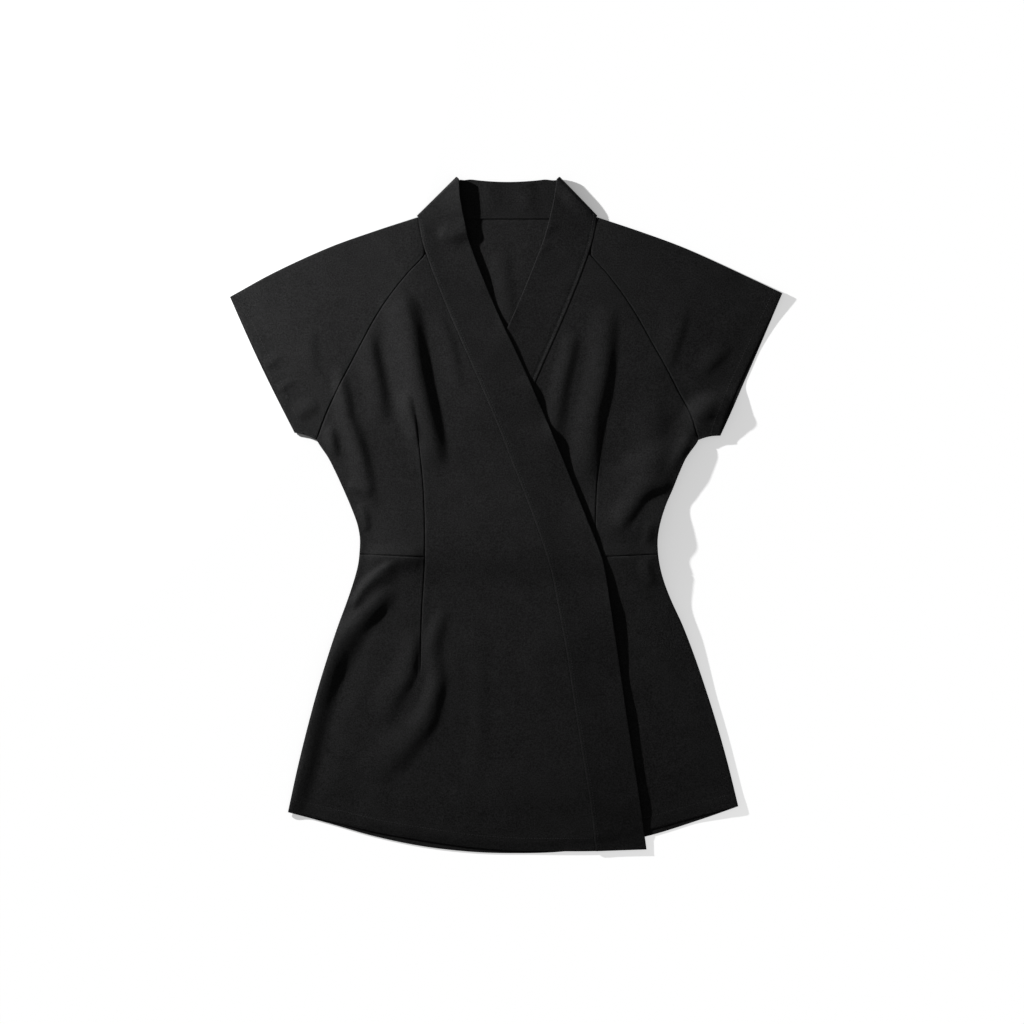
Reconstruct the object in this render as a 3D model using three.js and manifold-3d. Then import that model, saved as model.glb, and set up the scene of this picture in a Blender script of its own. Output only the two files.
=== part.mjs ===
// Wrap top with cap sleeves, laid flat on its back: every cut piece as a thin wall of cloth.
// Millimetres. X runs to the wearer's left, Y from hem to collar, Z up from the surface it lies on.
import * as THREE from 'three';
import { mergeVertices } from 'three/addons/utils/BufferGeometryUtils.js';
import Module from 'manifold-3d';

const wasm = await Module();
wasm.setup();

// Cloth and seams
const CLOTH = 1.2;
const BAND_CLOTH = 1.8;
const SEAM_GAP = 0.3;
const SLIT = 0.36;

// Heights of the layers over each other, and how far in from an edge each one is reached
const REST = CLOTH / 2;
const BAND_REST = BAND_CLOTH / 2;
const SEAT = CLOTH + SEAM_GAP;
const UPPER_LOFT = 3.4;
const UNDER_LOFT = 1.0;
const SHOULDER_LOFT = 1.2;
const SHOULDER_RISE = { y: 190, overY: 90, x: 30, overX: 60 };
const SLEEVE_LOFT = 0.8;
const SLEEVE_RISE = 40;
const OPENING_REACH = 40;
const BAND_PROUD = 0.1;
const BAND_STAND_POWER = 1.5;
const WAIST_RIDGE = 3.0;
const WAIST_Y = -48;
const WAIST_REACH = 75;
const WAIST_EDGE_REACH = 60;
const FOLD_EDGE_REACH = 20;
const FOLD_TAPER = 0.15;

// Named levels up the garment
const HEM_CORNER_Y = -341.5;
const STRAIGHT_ROW_Y = -160;
const UNDERARM_Y = 86;
const RAGLAN_TOP_Y = 299;
const NECK_SEAM_Y = 340.6;
const COLLAR_DIP_Y = 382.9;

// The under band mirrors the upper one about the middle of the neck
const UNDER_SEAM_MIRROR = 3.4;
const UNDER_EDGE_MIRROR = 0.1;
const UNDER_DART_MIRROR = 9.6;

// Side edges from hem to sleeve tip: where the edge lies, how high it stands and how far in it curls
const EDGE_ROWS = [
  { y: -341.5, right: -250.6, left: 268.5, lift: 6.0, curl: 30 },
  { y: -290, right: -239.3, left: 256.0, lift: 4.5, curl: 28 },
  { y: -244, right: -228.0, left: 243.3, lift: 3.5, curl: 28 },
  { y: -200, right: -216.1, left: 229.5, lift: 3.5, curl: 30 },
  { y: -160, right: -203.8, left: 215.7, lift: 4.5, curl: 34 },
  { y: -126, right: -192.6, left: 202.5, lift: 6.5, curl: 38 },
  { y: -98, right: -182.3, left: 189.6, lift: 8.5, curl: 44 },
  { y: -76, right: -175.0, left: 181.1, lift: 10.0, curl: 48 },
  { y: -58, right: -170.2, left: 176.3, lift: 11.0, curl: 50 },
  { y: -42, right: -168.3, left: 174.1, lift: 11.5, curl: 50 },
  { y: -26, right: -168.0, left: 174.0, lift: 11.5, curl: 50 },
  { y: -10, right: -171.0, left: 176.6, lift: 11.5, curl: 50 },
  { y: 10, right: -178.4, left: 182.9, lift: 11.0, curl: 50 },
  { y: 30, right: -187.0, left: 191.5, lift: 11.0, curl: 48 },
  { y: 50, right: -196.2, left: 199.5, lift: 10.5, curl: 46 },
  { y: 66, right: -204.4, left: 207.0, lift: 10.5, curl: 45 },
  { y: 86, right: -217.5, left: 221.0, lift: 10.5, curl: 45 },
  { y: 120, right: -232.0, left: 236.0, lift: 9.0, curl: 50 },
  { y: 180, right: -262.0, left: 266.0, lift: 5.5, curl: 50 },
  { y: 255, right: -318.0, left: 318.0, lift: 3.0, curl: 50 },
];

// Raglan seams from underarm to neck seam
const RAGLAN_ROWS = [
  { y: 86, right: -217.5, left: 221.0 },
  { y: 116, right: -206.5, left: 212.0 },
  { y: 144, right: -193.7, left: 197.4 },
  { y: 172, right: -179.4, left: 182.9 },
  { y: 200, right: -164.7, left: 167.0 },
  { y: 228, right: -149.5, left: 151.3 },
  { y: 254, right: -132.1, left: 134.5 },
  { y: 278, right: -112.8, left: 116.0 },
  { y: 299, right: -93.4, left: 97.6 },
  { y: 320, right: -81.5, left: 85.5 },
  { y: 341, right: -70.0, left: 73.5 },
];

// The upper front band from hem to raglan: its seam and its free edge
const BAND_ROWS = [
  { y: -386, seam: 103.2, edge: 161.8 },
  { y: -330, seam: 97.0, edge: 154.1 },
  { y: -244, seam: 82.9, edge: 140.9 },
  { y: -160, seam: 70.2, edge: 128.7 },
  { y: -98, seam: 58.9, edge: 119.3 },
  { y: -70, seam: 53.5, edge: 115.0 },
  { y: -50, seam: 48.1, edge: 110.6 },
  { y: -30, seam: 41.6, edge: 103.4 },
  { y: 0, seam: 30.9, edge: 91.3 },
  { y: 60, seam: 7.6, edge: 67.2 },
  { y: 116, seam: -14.5, edge: 43.7 },
  { y: 172, seam: -38.6, edge: 19.1 },
  { y: 228, seam: -63.2, edge: -7.4 },
  { y: 278, seam: -83.5, edge: -28.5 },
  { y: 299, seam: -91.6, edge: -36.9 },
];

// The collar from raglan to neck fold: seam point, free edge point and how far the free edge stands up
const COLLAR_ROWS = {
  right: [
    { seam: [-94.6, 310], edge: [-41.6, 313], stand: 1.6 },
    { seam: [-97.2, 321], edge: [-45.8, 330], stand: 2.8 },
    { seam: [-99.2, 331], edge: [-49.6, 349], stand: 3.4 },
    { seam: [-100.6, 338], edge: [-52.6, 366], stand: 3.5 },
  ],
  left: [
    { seam: [97.8, 310], edge: [42.0, 313], stand: 1.0 },
    { seam: [100.4, 321], edge: [47.2, 330], stand: 2.2 },
    { seam: [102.6, 331], edge: [52.0, 349], stand: 2.9 },
    { seam: [103.6, 338], edge: [55.6, 366], stand: 3.0 },
  ],
};
const NECK_FOLD = {
  right: { corner: [-102.6, 343.8], apex: [-57.0, 388.5], stand: 3.5 },
  left: { corner: [105.2, 343.8], apex: [61.6, 388.5], stand: 3.0 },
};

// Sleeve corners and the shoulder fold from neck to tip
const SLEEVES = {
  right: {
    shoulder: [[-103.6, 341.7], [-153.5, 325.4], [-204.5, 307.0], [-265.0, 279.4], [-317.5, 250.7]],
    cuffCorner: [-243.0, 94.5],
  },
  left: {
    shoulder: [[106.4, 342.0], [155.4, 325.4], [205.2, 307.0], [266.2, 279.4], [317.5, 254.7]],
    cuffCorner: [246.2, 91.0],
  },
};
const CUFF_BOW = 2.0;
const UNDERARM_SAG = 1.5;

// Hem edges of the three panels
const HEM_ROWS = {
  back: [
    { x: -250.7, y: -341.5 }, { x: -200, y: -355.5 }, { x: -150, y: -369.7 }, { x: -95, y: -381 },
    { x: -40, y: -387.2 }, { x: 8, y: -388.8 }, { x: 62, y: -387.3 }, { x: 110, y: -380.5 },
    { x: 168, y: -367.8 }, { x: 223, y: -350.4 }, { x: 267, y: -334.6 },
  ],
  right: [
    { x: -250.7, y: -341.5 }, { x: -200, y: -352.8 }, { x: -150, y: -364.5 }, { x: -95, y: -374.2 },
    { x: -40, y: -382 }, { x: 8, y: -385.7 }, { x: 62, y: -386.6 }, { x: 103, y: -386.4 },
    { x: 162, y: -384.1 },
  ],
  left: [
    { x: -160, y: -357 }, { x: -98, y: -369 }, { x: -40, y: -376.5 }, { x: 20, y: -379 },
    { x: 75, y: -376 }, { x: 120, y: -370.5 }, { x: 167, y: -361.5 }, { x: 195.5, y: -354 },
    { x: 223, y: -346.5 }, { x: 267, y: -334.6 },
  ],
};

// Largest folds: a ridge from one point to another, its half width and its height
const FOLDS = {
  right: [
    { from: [-128, 262], to: [-92, 100], half: 24, height: 2.6 },
    { from: [-160, 190], to: [-137, 86], half: 18, height: 1.6 },
    { from: [-84, -168], to: [-136, -290], half: 26, height: 3.0 },
    { from: [-112, -90], to: [-150, -214], half: 20, height: 1.8 },
    { from: [-30, -118], to: [-32, -330], half: 26, height: 1.2 },
    { from: [-150, -60], to: [-176, -110], half: 14, height: 1.8 },
  ],
  left: [
    { from: [108, 236], to: [84, 64], half: 20, height: 2.2 },
    { from: [132, 120], to: [140, -10], half: 20, height: 1.6 },
    { from: [182, 48], to: [140, -22], half: 14, height: 1.8 },
  ],
};

// Fish-eye dart of the right front, and the sewn slash from the side seam to it
const DART_ROWS = [
  { y: -178, x: -98.2 },
  { y: -115, x: -96.8 },
  { y: -48, x: -93.2 },
  { y: 22, x: -94.3 },
  { y: 74, x: -98.9 },
  { y: 116, x: -103.4 },
];
const SLASH = { side: -45.2, dart: -48.3, overrun: 5 };
const DART_STEP = 12;
const BLADE_HEIGHT = 60;
const MERGE_DISTANCE = 1e-4;

// Rows of the panels, from the hem corner to the underarm and on to the top of the raglan seam
const BODY_LEVELS = [
  HEM_CORNER_Y, -312, -278, -240, -200, STRAIGHT_ROW_Y, -128, -102, -80, -62, -46, -30, -12, 8, 28, 48, 67,
  UNDERARM_Y,
];
const RAGLAN_LEVELS = [104, 126, 150, 176, 202, 228, 252, 272, 288, RAGLAN_TOP_Y];
const BACK_NECK_LEVELS = [320, NECK_SEAM_Y - SEAM_GAP / 2];

// Places across each piece, as shares of its width
const FRONT_COLUMNS = [0, 0.03, 0.08, 0.14, 0.2, 0.26, 0.33, 0.4, 0.48, 0.56, 0.64, 0.73, 0.82, 0.91, 1];
const BACK_COLUMNS = [0, 0.03, 0.08, 0.14, 0.22, 0.34, 0.5, 0.66, 0.78, 0.86, 0.92, 0.97, 1];
const BAND_COLUMNS = [0, 0.25, 0.5, 0.75, 1];
const SLEEVE_COLUMNS = [0, 0.12, 0.28, 0.46, 0.64, 0.82, 0.93, 1];
const COLLAR_BACK_COLUMNS = [0.08, 0.2, 0.35, 0.5, 0.65, 0.8, 0.92];
const ROLL_ANGLES = [90, 45, 0, -45, -90].map((degrees) => THREE.MathUtils.degToRad(degrees));

const PANEL_BLACK = '#1b1b1c';
const BAND_BLACK = '#19191a';
const CLOTH_ROUGHNESS = 0.86;

const UP = new THREE.Vector3(0, 0, 1);
const DOWN = new THREE.Vector3(0, 0, -1);

// Cubic curve through the rows of a table, read at one value of its key column
function readTable(rows, key, column, at) {
  const last = rows.length - 1;
  const clamped = THREE.MathUtils.clamp(at, rows[0][key], rows[last][key]);
  let i = 0;
  while (i < last - 1 && clamped > rows[i + 1][key]) i += 1;
  const slope = (a, b) => (rows[b][column] - rows[a][column]) / (rows[b][key] - rows[a][key]);
  const tangent = (n) => slope(Math.max(n - 1, 0), Math.min(n + 1, last));
  const span = rows[i + 1][key] - rows[i][key];
  const t = (clamped - rows[i][key]) / span;
  const t2 = t * t;
  const t3 = t2 * t;
  return rows[i][column] * (2 * t3 - 3 * t2 + 1) + tangent(i) * span * (t3 - 2 * t2 + t)
    + rows[i + 1][column] * (3 * t2 - 2 * t3) + tangent(i + 1) * span * (t3 - t2);
}

// Soft step from 0 to 1
function ease(t) {
  return THREE.MathUtils.smoothstep(t, 0, 1);
}

// How far inside the side edge a point lies
function insideEdge(side, x, y) {
  const edge = readTable(EDGE_ROWS, 'y', side, y);
  return side === 'right' ? x - edge : edge - x;
}

// Middle height of the back layer: flat inside, curling up toward both side edges
function backHeight(x, y) {
  const reach = readTable(EDGE_ROWS, 'y', 'curl', y);
  const nearest = Math.min(insideEdge('right', x, y), insideEdge('left', x, y));
  return REST + readTable(EDGE_ROWS, 'y', 'lift', y) * ease(1 - nearest / reach);
}

// Height of the fold ridges at a point
function foldHeight(side, x, y) {
  const point = new THREE.Vector2(x, y);
  let height = 0;
  for (const fold of FOLDS[side]) {
    const from = new THREE.Vector2(...fold.from);
    const along = new THREE.Vector2(...fold.to).sub(from);
    const t = THREE.MathUtils.clamp(point.clone().sub(from).dot(along) / along.lengthSq(), 0, 1);
    const away = point.distanceTo(from.clone().addScaledVector(along, t)) / fold.half;
    const taper = Math.sqrt(Math.sin(Math.PI * THREE.MathUtils.lerp(FOLD_TAPER, 1 - FOLD_TAPER, t)));
    height += fold.height * ease(1 - away) * taper;
  }
  return height;
}

// Middle height of the front layer on one side: the right front lies over the left one
function frontHeight(side, x, y) {
  const inside = insideEdge(side, x, y);
  const upper = side === 'right';
  const { y: riseY, overY, x: riseX, overX } = SHOULDER_RISE;
  const shoulder = SHOULDER_LOFT * ease((y - riseY) / overY) * ease((x - riseX) / overX);
  const full = upper ? UPPER_LOFT : UNDER_LOFT + shoulder;
  const least = SLEEVE_LOFT * ease((y - UNDERARM_Y) / SLEEVE_RISE);
  const loft = least + (full - least) * ease(inside / OPENING_REACH);
  const ridge = Math.exp(-(((y - WAIST_Y) / WAIST_REACH) ** 2));
  const waist = WAIST_RIDGE * ridge * ease(inside / WAIST_EDGE_REACH);
  const folds = foldHeight(side, x, y) * ease(inside / FOLD_EDGE_REACH);
  return backHeight(x, y) + SEAT + loft + (upper ? waist : waist / 2) + folds;
}

// Height along a row of a panel whose lower rows follow its hem
function rowHeight(level, hemY) {
  const pull = THREE.MathUtils.clamp((STRAIGHT_ROW_Y - level) / (STRAIGHT_ROW_Y - HEM_CORNER_Y), 0, 1);
  return level + pull * (hemY - HEM_CORNER_Y);
}

// Outer boundary of a panel at a level: the side seam, then the raglan seam
function panelEdgeX(side, y) {
  if (y <= UNDERARM_Y) return readTable(EDGE_ROWS, 'y', side, y);
  const inward = side === 'right' ? 1 : -1;
  return readTable(RAGLAN_ROWS, 'y', side, y) + inward * SEAM_GAP / 2;
}

// Seam and free edge of the front band on either side
function bandSeamX(side, y) {
  const seam = readTable(BAND_ROWS, 'y', 'seam', y);
  return side === 'right' ? seam : UNDER_SEAM_MIRROR - seam;
}

function bandEdgeX(side, y) {
  const edge = readTable(BAND_ROWS, 'y', 'edge', y);
  return side === 'right' ? edge : UNDER_EDGE_MIRROR - edge;
}

function sheetPoint(x, y, z, normal) {
  return { place: new THREE.Vector3(x, y, z), normal };
}

// Closed wall of cloth around a grid of middle points, each with the direction of its outer face
function thickSheet(grid, wall) {
  const rows = grid.length;
  const columns = grid[0].length;
  const inner = rows * columns;
  const positions = [];
  for (const offset of [wall / 2, -wall / 2]) {
    for (const row of grid) {
      for (const point of row) {
        positions.push(...point.place.clone().addScaledVector(point.normal, offset).toArray());
      }
    }
  }
  const triangles = [];
  const quad = (a, b, c, d) => triangles.push(a, b, c, a, c, d);
  const index = (i, j) => i * columns + j;
  const rim = (a, b) => quad(a, b, inner + b, inner + a);
  for (let i = 0; i < rows - 1; i += 1) {
    for (let j = 0; j < columns - 1; j += 1) {
      const corners = [index(i, j), index(i + 1, j), index(i + 1, j + 1), index(i, j + 1)];
      quad(...corners);
      quad(...corners.reverse().map((corner) => inner + corner));
    }
  }
  for (let i = 0; i < rows - 1; i += 1) {
    rim(index(i + 1, 0), index(i, 0));
    rim(index(i, columns - 1), index(i + 1, columns - 1));
  }
  for (let j = 0; j < columns - 1; j += 1) {
    rim(index(0, j), index(0, j + 1));
    rim(index(rows - 1, j + 1), index(rows - 1, j));
  }
  return outwardGeometry(positions, triangles);
}

// Indexed geometry whose faces point out
function outwardGeometry(positions, triangles) {
  let volume = 0;
  const corners = [new THREE.Vector3(), new THREE.Vector3(), new THREE.Vector3()];
  for (let i = 0; i < triangles.length; i += 3) {
    corners.forEach((corner, n) => corner.fromArray(positions, 3 * triangles[i + n]));
    volume += corners[0].dot(corners[1].clone().cross(corners[2]));
  }
  if (volume < 0) triangles.reverse();
  const geometry = new THREE.BufferGeometry();
  geometry.setAttribute('position', new THREE.Float32BufferAttribute(positions, 3));
  geometry.setIndex(triangles);
  return geometry;
}

// Solid of a closed geometry, for cutting
function solidOf(geometry) {
  const bare = geometry.clone();
  for (const name of Object.keys(bare.attributes)) {
    if (name !== 'position') bare.deleteAttribute(name);
  }
  const merged = mergeVertices(bare, MERGE_DISTANCE);
  const vertProperties = new Float32Array(merged.attributes.position.array);
  const triVerts = new Uint32Array(merged.index.array);
  return new wasm.Manifold(new wasm.Mesh({ numProp: 3, vertProperties, triVerts }));
}

function geometryOf(solid) {
  const mesh = solid.getMesh();
  const geometry = new THREE.BufferGeometry();
  geometry.setAttribute('position', new THREE.Float32BufferAttribute(mesh.vertProperties, 3));
  geometry.setIndex(Array.from(mesh.triVerts));
  return geometry;
}

// Upright knife along a line of [x, y] points, as wide as a sewn slit
function slitAlong(points) {
  const curve = points.map(([x, y]) => new THREE.Vector2(x, y));
  const left = [];
  const right = [];
  curve.forEach((point, i) => {
    const before = curve[Math.max(i - 1, 0)];
    const after = curve[Math.min(i + 1, curve.length - 1)];
    const along = after.clone().sub(before).normalize();
    const across = new THREE.Vector2(-along.y, along.x).multiplyScalar(SLIT / 2);
    left.push(point.clone().add(across));
    right.unshift(point.clone().sub(across));
  });
  const outline = new THREE.Shape([...left, ...right]);
  const blade = new THREE.ExtrudeGeometry(outline, { depth: BLADE_HEIGHT, bevelEnabled: false });
  blade.translate(0, 0, -BLADE_HEIGHT / 2);
  return solidOf(blade);
}

// One front panel: rows from hem to raglan, from the side edge to the band seam
function frontPanel(side) {
  const sign = side === 'right' ? 1 : -1;
  const hem = (x) => readTable(HEM_ROWS[side], 'x', 'y', x);
  const cornerX = panelEdgeX(side, HEM_CORNER_Y);
  const seamHemX = bandSeamX(side, hem(bandSeamX(side, HEM_CORNER_Y)));
  const grid = [...BODY_LEVELS, ...RAGLAN_LEVELS].map((level) => FRONT_COLUMNS.map((share) => {
    const outerX = panelEdgeX(side, rowHeight(level, hem(cornerX)));
    const innerX = bandSeamX(side, rowHeight(level, hem(seamHemX))) - sign * SEAM_GAP / 2;
    const x = THREE.MathUtils.lerp(outerX, innerX, share);
    const y = rowHeight(level, hem(THREE.MathUtils.lerp(cornerX, seamHemX, share)));
    return sheetPoint(x, y, frontHeight(side, x, y), UP);
  }));
  const dartX = (y) => {
    const x = readTable(DART_ROWS, 'y', 'x', y);
    return side === 'right' ? x : UNDER_DART_MIRROR - x;
  };
  const dartLine = [];
  for (let y = DART_ROWS[0].y; y <= DART_ROWS.at(-1).y; y += DART_STEP) dartLine.push([dartX(y), y]);
  const dart = slitAlong(dartLine);
  const slashStart = [panelEdgeX(side, SLASH.side) - sign * SLASH.overrun, SLASH.side];
  const slash = slitAlong([slashStart, [dartX(SLASH.dart), SLASH.dart]]);
  return geometryOf(solidOf(thickSheet(grid, CLOTH)).subtract(dart.add(slash)));
}

// The back panel, from one side edge to the other and up to the neck seam
function backPanel() {
  const hem = (x) => readTable(HEM_ROWS.back, 'x', 'y', x);
  const rightHemX = panelEdgeX('right', HEM_CORNER_Y);
  const leftHemX = HEM_ROWS.back.at(-1).x;
  const levels = [...BODY_LEVELS, ...RAGLAN_LEVELS, ...BACK_NECK_LEVELS];
  const grid = levels.map((level) => BACK_COLUMNS.map((share) => {
    const rightX = panelEdgeX('right', rowHeight(level, hem(rightHemX)));
    const leftX = panelEdgeX('left', rowHeight(level, hem(leftHemX)));
    const x = THREE.MathUtils.lerp(rightX, leftX, share);
    const y = rowHeight(level, hem(THREE.MathUtils.lerp(rightHemX, leftHemX, share)));
    return sheetPoint(x, y, backHeight(x, y), UP);
  }));
  return thickSheet(grid, CLOTH);
}

// Half roll of cloth over a fold: base point, way out of the fold, radius and lowest middle height
function rollPoint(base, outward, radius, low, angle) {
  const reach = radius * Math.cos(angle);
  const height = low + radius * (1 + Math.sin(angle));
  const normal = new THREE.Vector3(outward.x * Math.cos(angle), outward.y * Math.cos(angle), Math.sin(angle));
  return sheetPoint(base.x + outward.x * reach, base.y + outward.y * reach, height, normal);
}

// Patch between four boundary curves, read at shares s along and t across
function coons(start, end, low, high) {
  return (s, t) => {
    const point = new THREE.Vector2();
    point.addScaledVector(start(s), 1 - t).addScaledVector(end(s), t);
    point.addScaledVector(low(t), 1 - s).addScaledVector(high(t), s);
    point.addScaledVector(start(0), -(1 - s) * (1 - t)).addScaledVector(start(1), -s * (1 - t));
    return point.addScaledVector(end(0), -(1 - s) * t).addScaledVector(end(1), -s * t);
  };
}

// Polyline through points, read by its share of length, with the shares of its own points
function polyline(points) {
  const lengths = [0];
  for (let i = 1; i < points.length; i += 1) {
    lengths.push(lengths[i - 1] + points[i].distanceTo(points[i - 1]));
  }
  const total = lengths.at(-1);
  const shares = lengths.map((length) => length / total);
  const at = (share) => {
    let i = 0;
    while (i < points.length - 2 && share > shares[i + 1]) i += 1;
    const t = (share - shares[i]) / (shares[i + 1] - shares[i]);
    return points[i].clone().lerp(points[i + 1], t);
  };
  return { at, shares };
}

// One sleeve: front layer, roll over the shoulder and back layer, from seam to cuff
function sleeve(side) {
  const sign = side === 'right' ? -1 : 1;
  const shape = SLEEVES[side];
  const shoulder = new THREE.CatmullRomCurve3(shape.shoulder.map(([x, y]) => new THREE.Vector3(x, y, 0)));
  const foldAt = (t) => {
    const outline = shoulder.getPoint(t);
    const along = shoulder.getTangent(t);
    const outward = new THREE.Vector2(-sign * along.y, sign * along.x);
    const radius = (frontHeight(side, outline.x, outline.y) - backHeight(outline.x, outline.y)) / 2;
    const base = new THREE.Vector2(outline.x, outline.y).addScaledVector(outward, -(radius + CLOTH / 2));
    return { base, outward };
  };
  const gap = sign * SEAM_GAP / 2;
  const neckRows = COLLAR_ROWS[side].slice(0, -1);
  const neckFront = neckRows.map(({ seam: [x, y] }) => new THREE.Vector2(x + sign * SEAM_GAP, y));
  const raglanX = (y) => readTable(RAGLAN_ROWS, 'y', side, y) + gap;
  const raglan = [UNDERARM_Y + SEAM_GAP, ...RAGLAN_LEVELS].map((y) => new THREE.Vector2(raglanX(y), y));
  const backMiddle = new THREE.Vector2(raglanX(BACK_NECK_LEVELS[0]), BACK_NECK_LEVELS[0]);
  const backTop = new THREE.Vector2(raglanX(NECK_SEAM_Y), NECK_SEAM_Y - SEAM_GAP);
  const neckMiddle = backTop.clone().lerp(foldAt(0).base, 0.5);
  const cuffCorner = new THREE.Vector2(...shape.cuffCorner);
  const underarm = (t) => {
    const point = raglan[0].clone().lerp(cuffCorner, t);
    point.y += UNDERARM_SAG * Math.sin(Math.PI * t);
    return point;
  };
  const cuff = (s) => {
    const point = cuffCorner.clone().lerp(foldAt(1).base, s);
    point.x += sign * CUFF_BOW * Math.sin(Math.PI * s);
    return point;
  };
  const layer = (seamPoints, height, normal) => {
    const seam = polyline([...seamPoints, foldAt(0).base]);
    const patch = coons(seam.at, cuff, underarm, (t) => foldAt(t).base);
    return seam.shares.map((s) => SLEEVE_COLUMNS.map((t) => {
      const point = patch(s, t);
      return sheetPoint(point.x, point.y, height(point.x, point.y), normal);
    }));
  };
  const front = layer([...raglan, ...neckFront], (x, y) => frontHeight(side, x, y), UP);
  const back = layer([...raglan, backMiddle, backTop, neckMiddle], backHeight, DOWN);
  const roll = ROLL_ANGLES.map((angle) => SLEEVE_COLUMNS.map((t) => {
    const { base, outward } = foldAt(t);
    const low = backHeight(base.x, base.y);
    const radius = (frontHeight(side, base.x, base.y) - low) / 2;
    return rollPoint(base, outward, radius, low, angle);
  }));
  return thickSheet([...front.slice(0, -1), ...roll, ...back.slice(0, -1).reverse()], CLOTH);
}

// Height of the band on one front, at a share of its width, with its free edge standing up
function bandHeight(side, x, y, share, stand) {
  return frontHeight(side, x, y) + BAND_PROUD + stand * share ** BAND_STAND_POWER;
}

// The band along one front, from hem to neck fold
function bandFront(side) {
  const sign = side === 'right' ? 1 : -1;
  const hem = (x) => readTable(HEM_ROWS[side], 'x', 'y', x);
  const seamHem = hem(bandSeamX(side, HEM_CORNER_Y));
  const edgeHem = hem(bandEdgeX(side, HEM_CORNER_Y));
  const along = [...BODY_LEVELS, ...RAGLAN_LEVELS].map((level) => {
    const seamY = rowHeight(level, seamHem);
    const edgeY = rowHeight(level, edgeHem);
    return { seam: [bandSeamX(side, seamY), seamY], edge: [bandEdgeX(side, edgeY), edgeY], stand: 0 };
  });
  return [...along, ...COLLAR_ROWS[side]].map(({ seam, edge, stand }) => BAND_COLUMNS.map((share) => {
    const x = THREE.MathUtils.lerp(seam[0] + sign * SEAM_GAP / 2, edge[0], share);
    const y = THREE.MathUtils.lerp(seam[1], edge[1], share);
    return sheetPoint(x, y, bandHeight(side, x, y, share, stand), UP);
  }));
}

// The roll of the band over the neck fold, from upper to lower layer
function bandRoll(side) {
  const { corner, apex, stand } = NECK_FOLD[side];
  const start = new THREE.Vector2(...corner);
  const end = new THREE.Vector2(...apex);
  const along = end.clone().sub(start).normalize();
  const sign = side === 'right' ? 1 : -1;
  const outward = new THREE.Vector2(-sign * along.y, sign * along.x);
  return ROLL_ANGLES.map((angle) => BAND_COLUMNS.map((share) => {
    const outline = start.clone().lerp(end, share);
    const high = bandHeight(side, outline.x, outline.y, share, stand);
    const radius = (high - BAND_REST) / 2;
    const base = outline.addScaledVector(outward, -(radius + BAND_CLOTH / 2));
    return rollPoint(base, outward, radius, BAND_REST, angle);
  }));
}

// The back of the collar, lying flat between the two neck folds
function collarBack() {
  const { right, left } = NECK_FOLD;
  return COLLAR_BACK_COLUMNS.map((across) => BAND_COLUMNS.map((share) => {
    const seamX = THREE.MathUtils.lerp(right.corner[0], left.corner[0], across);
    const edgeX = THREE.MathUtils.lerp(right.apex[0], left.apex[0], across);
    const edgeY = COLLAR_DIP_Y + (right.apex[1] - COLLAR_DIP_Y) * (2 * across - 1) ** 2;
    const x = THREE.MathUtils.lerp(seamX, edgeX, share);
    const y = THREE.MathUtils.lerp(NECK_SEAM_Y + SEAM_GAP / 2, edgeY, share);
    return sheetPoint(x, y, BAND_REST, DOWN);
  }));
}

// The whole band: up the left front, round the back neck and down the right front
function band() {
  const leftHalf = [...bandFront('left'), ...bandRoll('left')];
  const rightHalf = [...bandFront('right'), ...bandRoll('right')];
  return thickSheet([...leftHalf, ...collarBack().reverse(), ...rightHalf.reverse()], BAND_CLOTH);
}

function piece(name, geometry, colour) {
  const material = new THREE.MeshStandardMaterial({ color: colour, roughness: CLOTH_ROUGHNESS });
  const mesh = new THREE.Mesh(geometry, material);
  mesh.name = name;
  return mesh;
}

const wrapTop = new THREE.Group();
wrapTop.add(
  piece('back', backPanel(), PANEL_BLACK),
  piece('right_front', frontPanel('right'), PANEL_BLACK),
  piece('left_front', frontPanel('left'), PANEL_BLACK),
  piece('right_sleeve', sleeve('right'), PANEL_BLACK),
  piece('left_sleeve', sleeve('left'), PANEL_BLACK),
  piece('band', band(), BAND_BLACK),
);

export default wrapTop;
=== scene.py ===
"""Wrap top with cap sleeves, laid flat on its back: thin shells of black crepe with their folds, seams
and stitching, on a pale floor. Metres. X runs to the wearer's left, Y from hem to collar, Z up."""
import math
from collections import namedtuple

import bpy
import numpy as np
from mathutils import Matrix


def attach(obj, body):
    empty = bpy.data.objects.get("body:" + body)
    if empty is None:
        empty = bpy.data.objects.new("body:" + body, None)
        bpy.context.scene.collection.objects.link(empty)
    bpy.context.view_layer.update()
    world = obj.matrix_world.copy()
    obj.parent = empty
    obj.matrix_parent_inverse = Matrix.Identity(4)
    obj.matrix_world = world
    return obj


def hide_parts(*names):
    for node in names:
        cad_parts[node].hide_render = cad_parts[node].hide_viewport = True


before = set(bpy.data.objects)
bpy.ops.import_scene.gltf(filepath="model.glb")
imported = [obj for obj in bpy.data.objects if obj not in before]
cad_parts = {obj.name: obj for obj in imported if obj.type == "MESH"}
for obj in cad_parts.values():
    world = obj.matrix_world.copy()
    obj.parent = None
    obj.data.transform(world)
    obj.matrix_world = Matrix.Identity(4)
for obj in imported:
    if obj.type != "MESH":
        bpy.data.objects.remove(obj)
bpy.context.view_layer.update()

# The photograph's view: straight down, with this width of floor across the frame
LENS_MM = 85
SENSOR_MM = 36
FIELD = 1.1776
VIEW_CENTRE = (0.0069, 0.00345)

# Light: a low key from the upper left of the photograph, over an even fill, on a pale floor
KEY_DIRECTION = (0.83, -0.55)
KEY_ELEVATION = 15.5
KEY_DISTANCE = 1.45
KEY_POWER = 45
KEY_SIZE = 0.037
FILL_STRENGTH = 0.16
FLOOR_WHITE = 0.88
FLOOR_EVEN = 1.0
FLOOR_SIZE = 60

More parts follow.
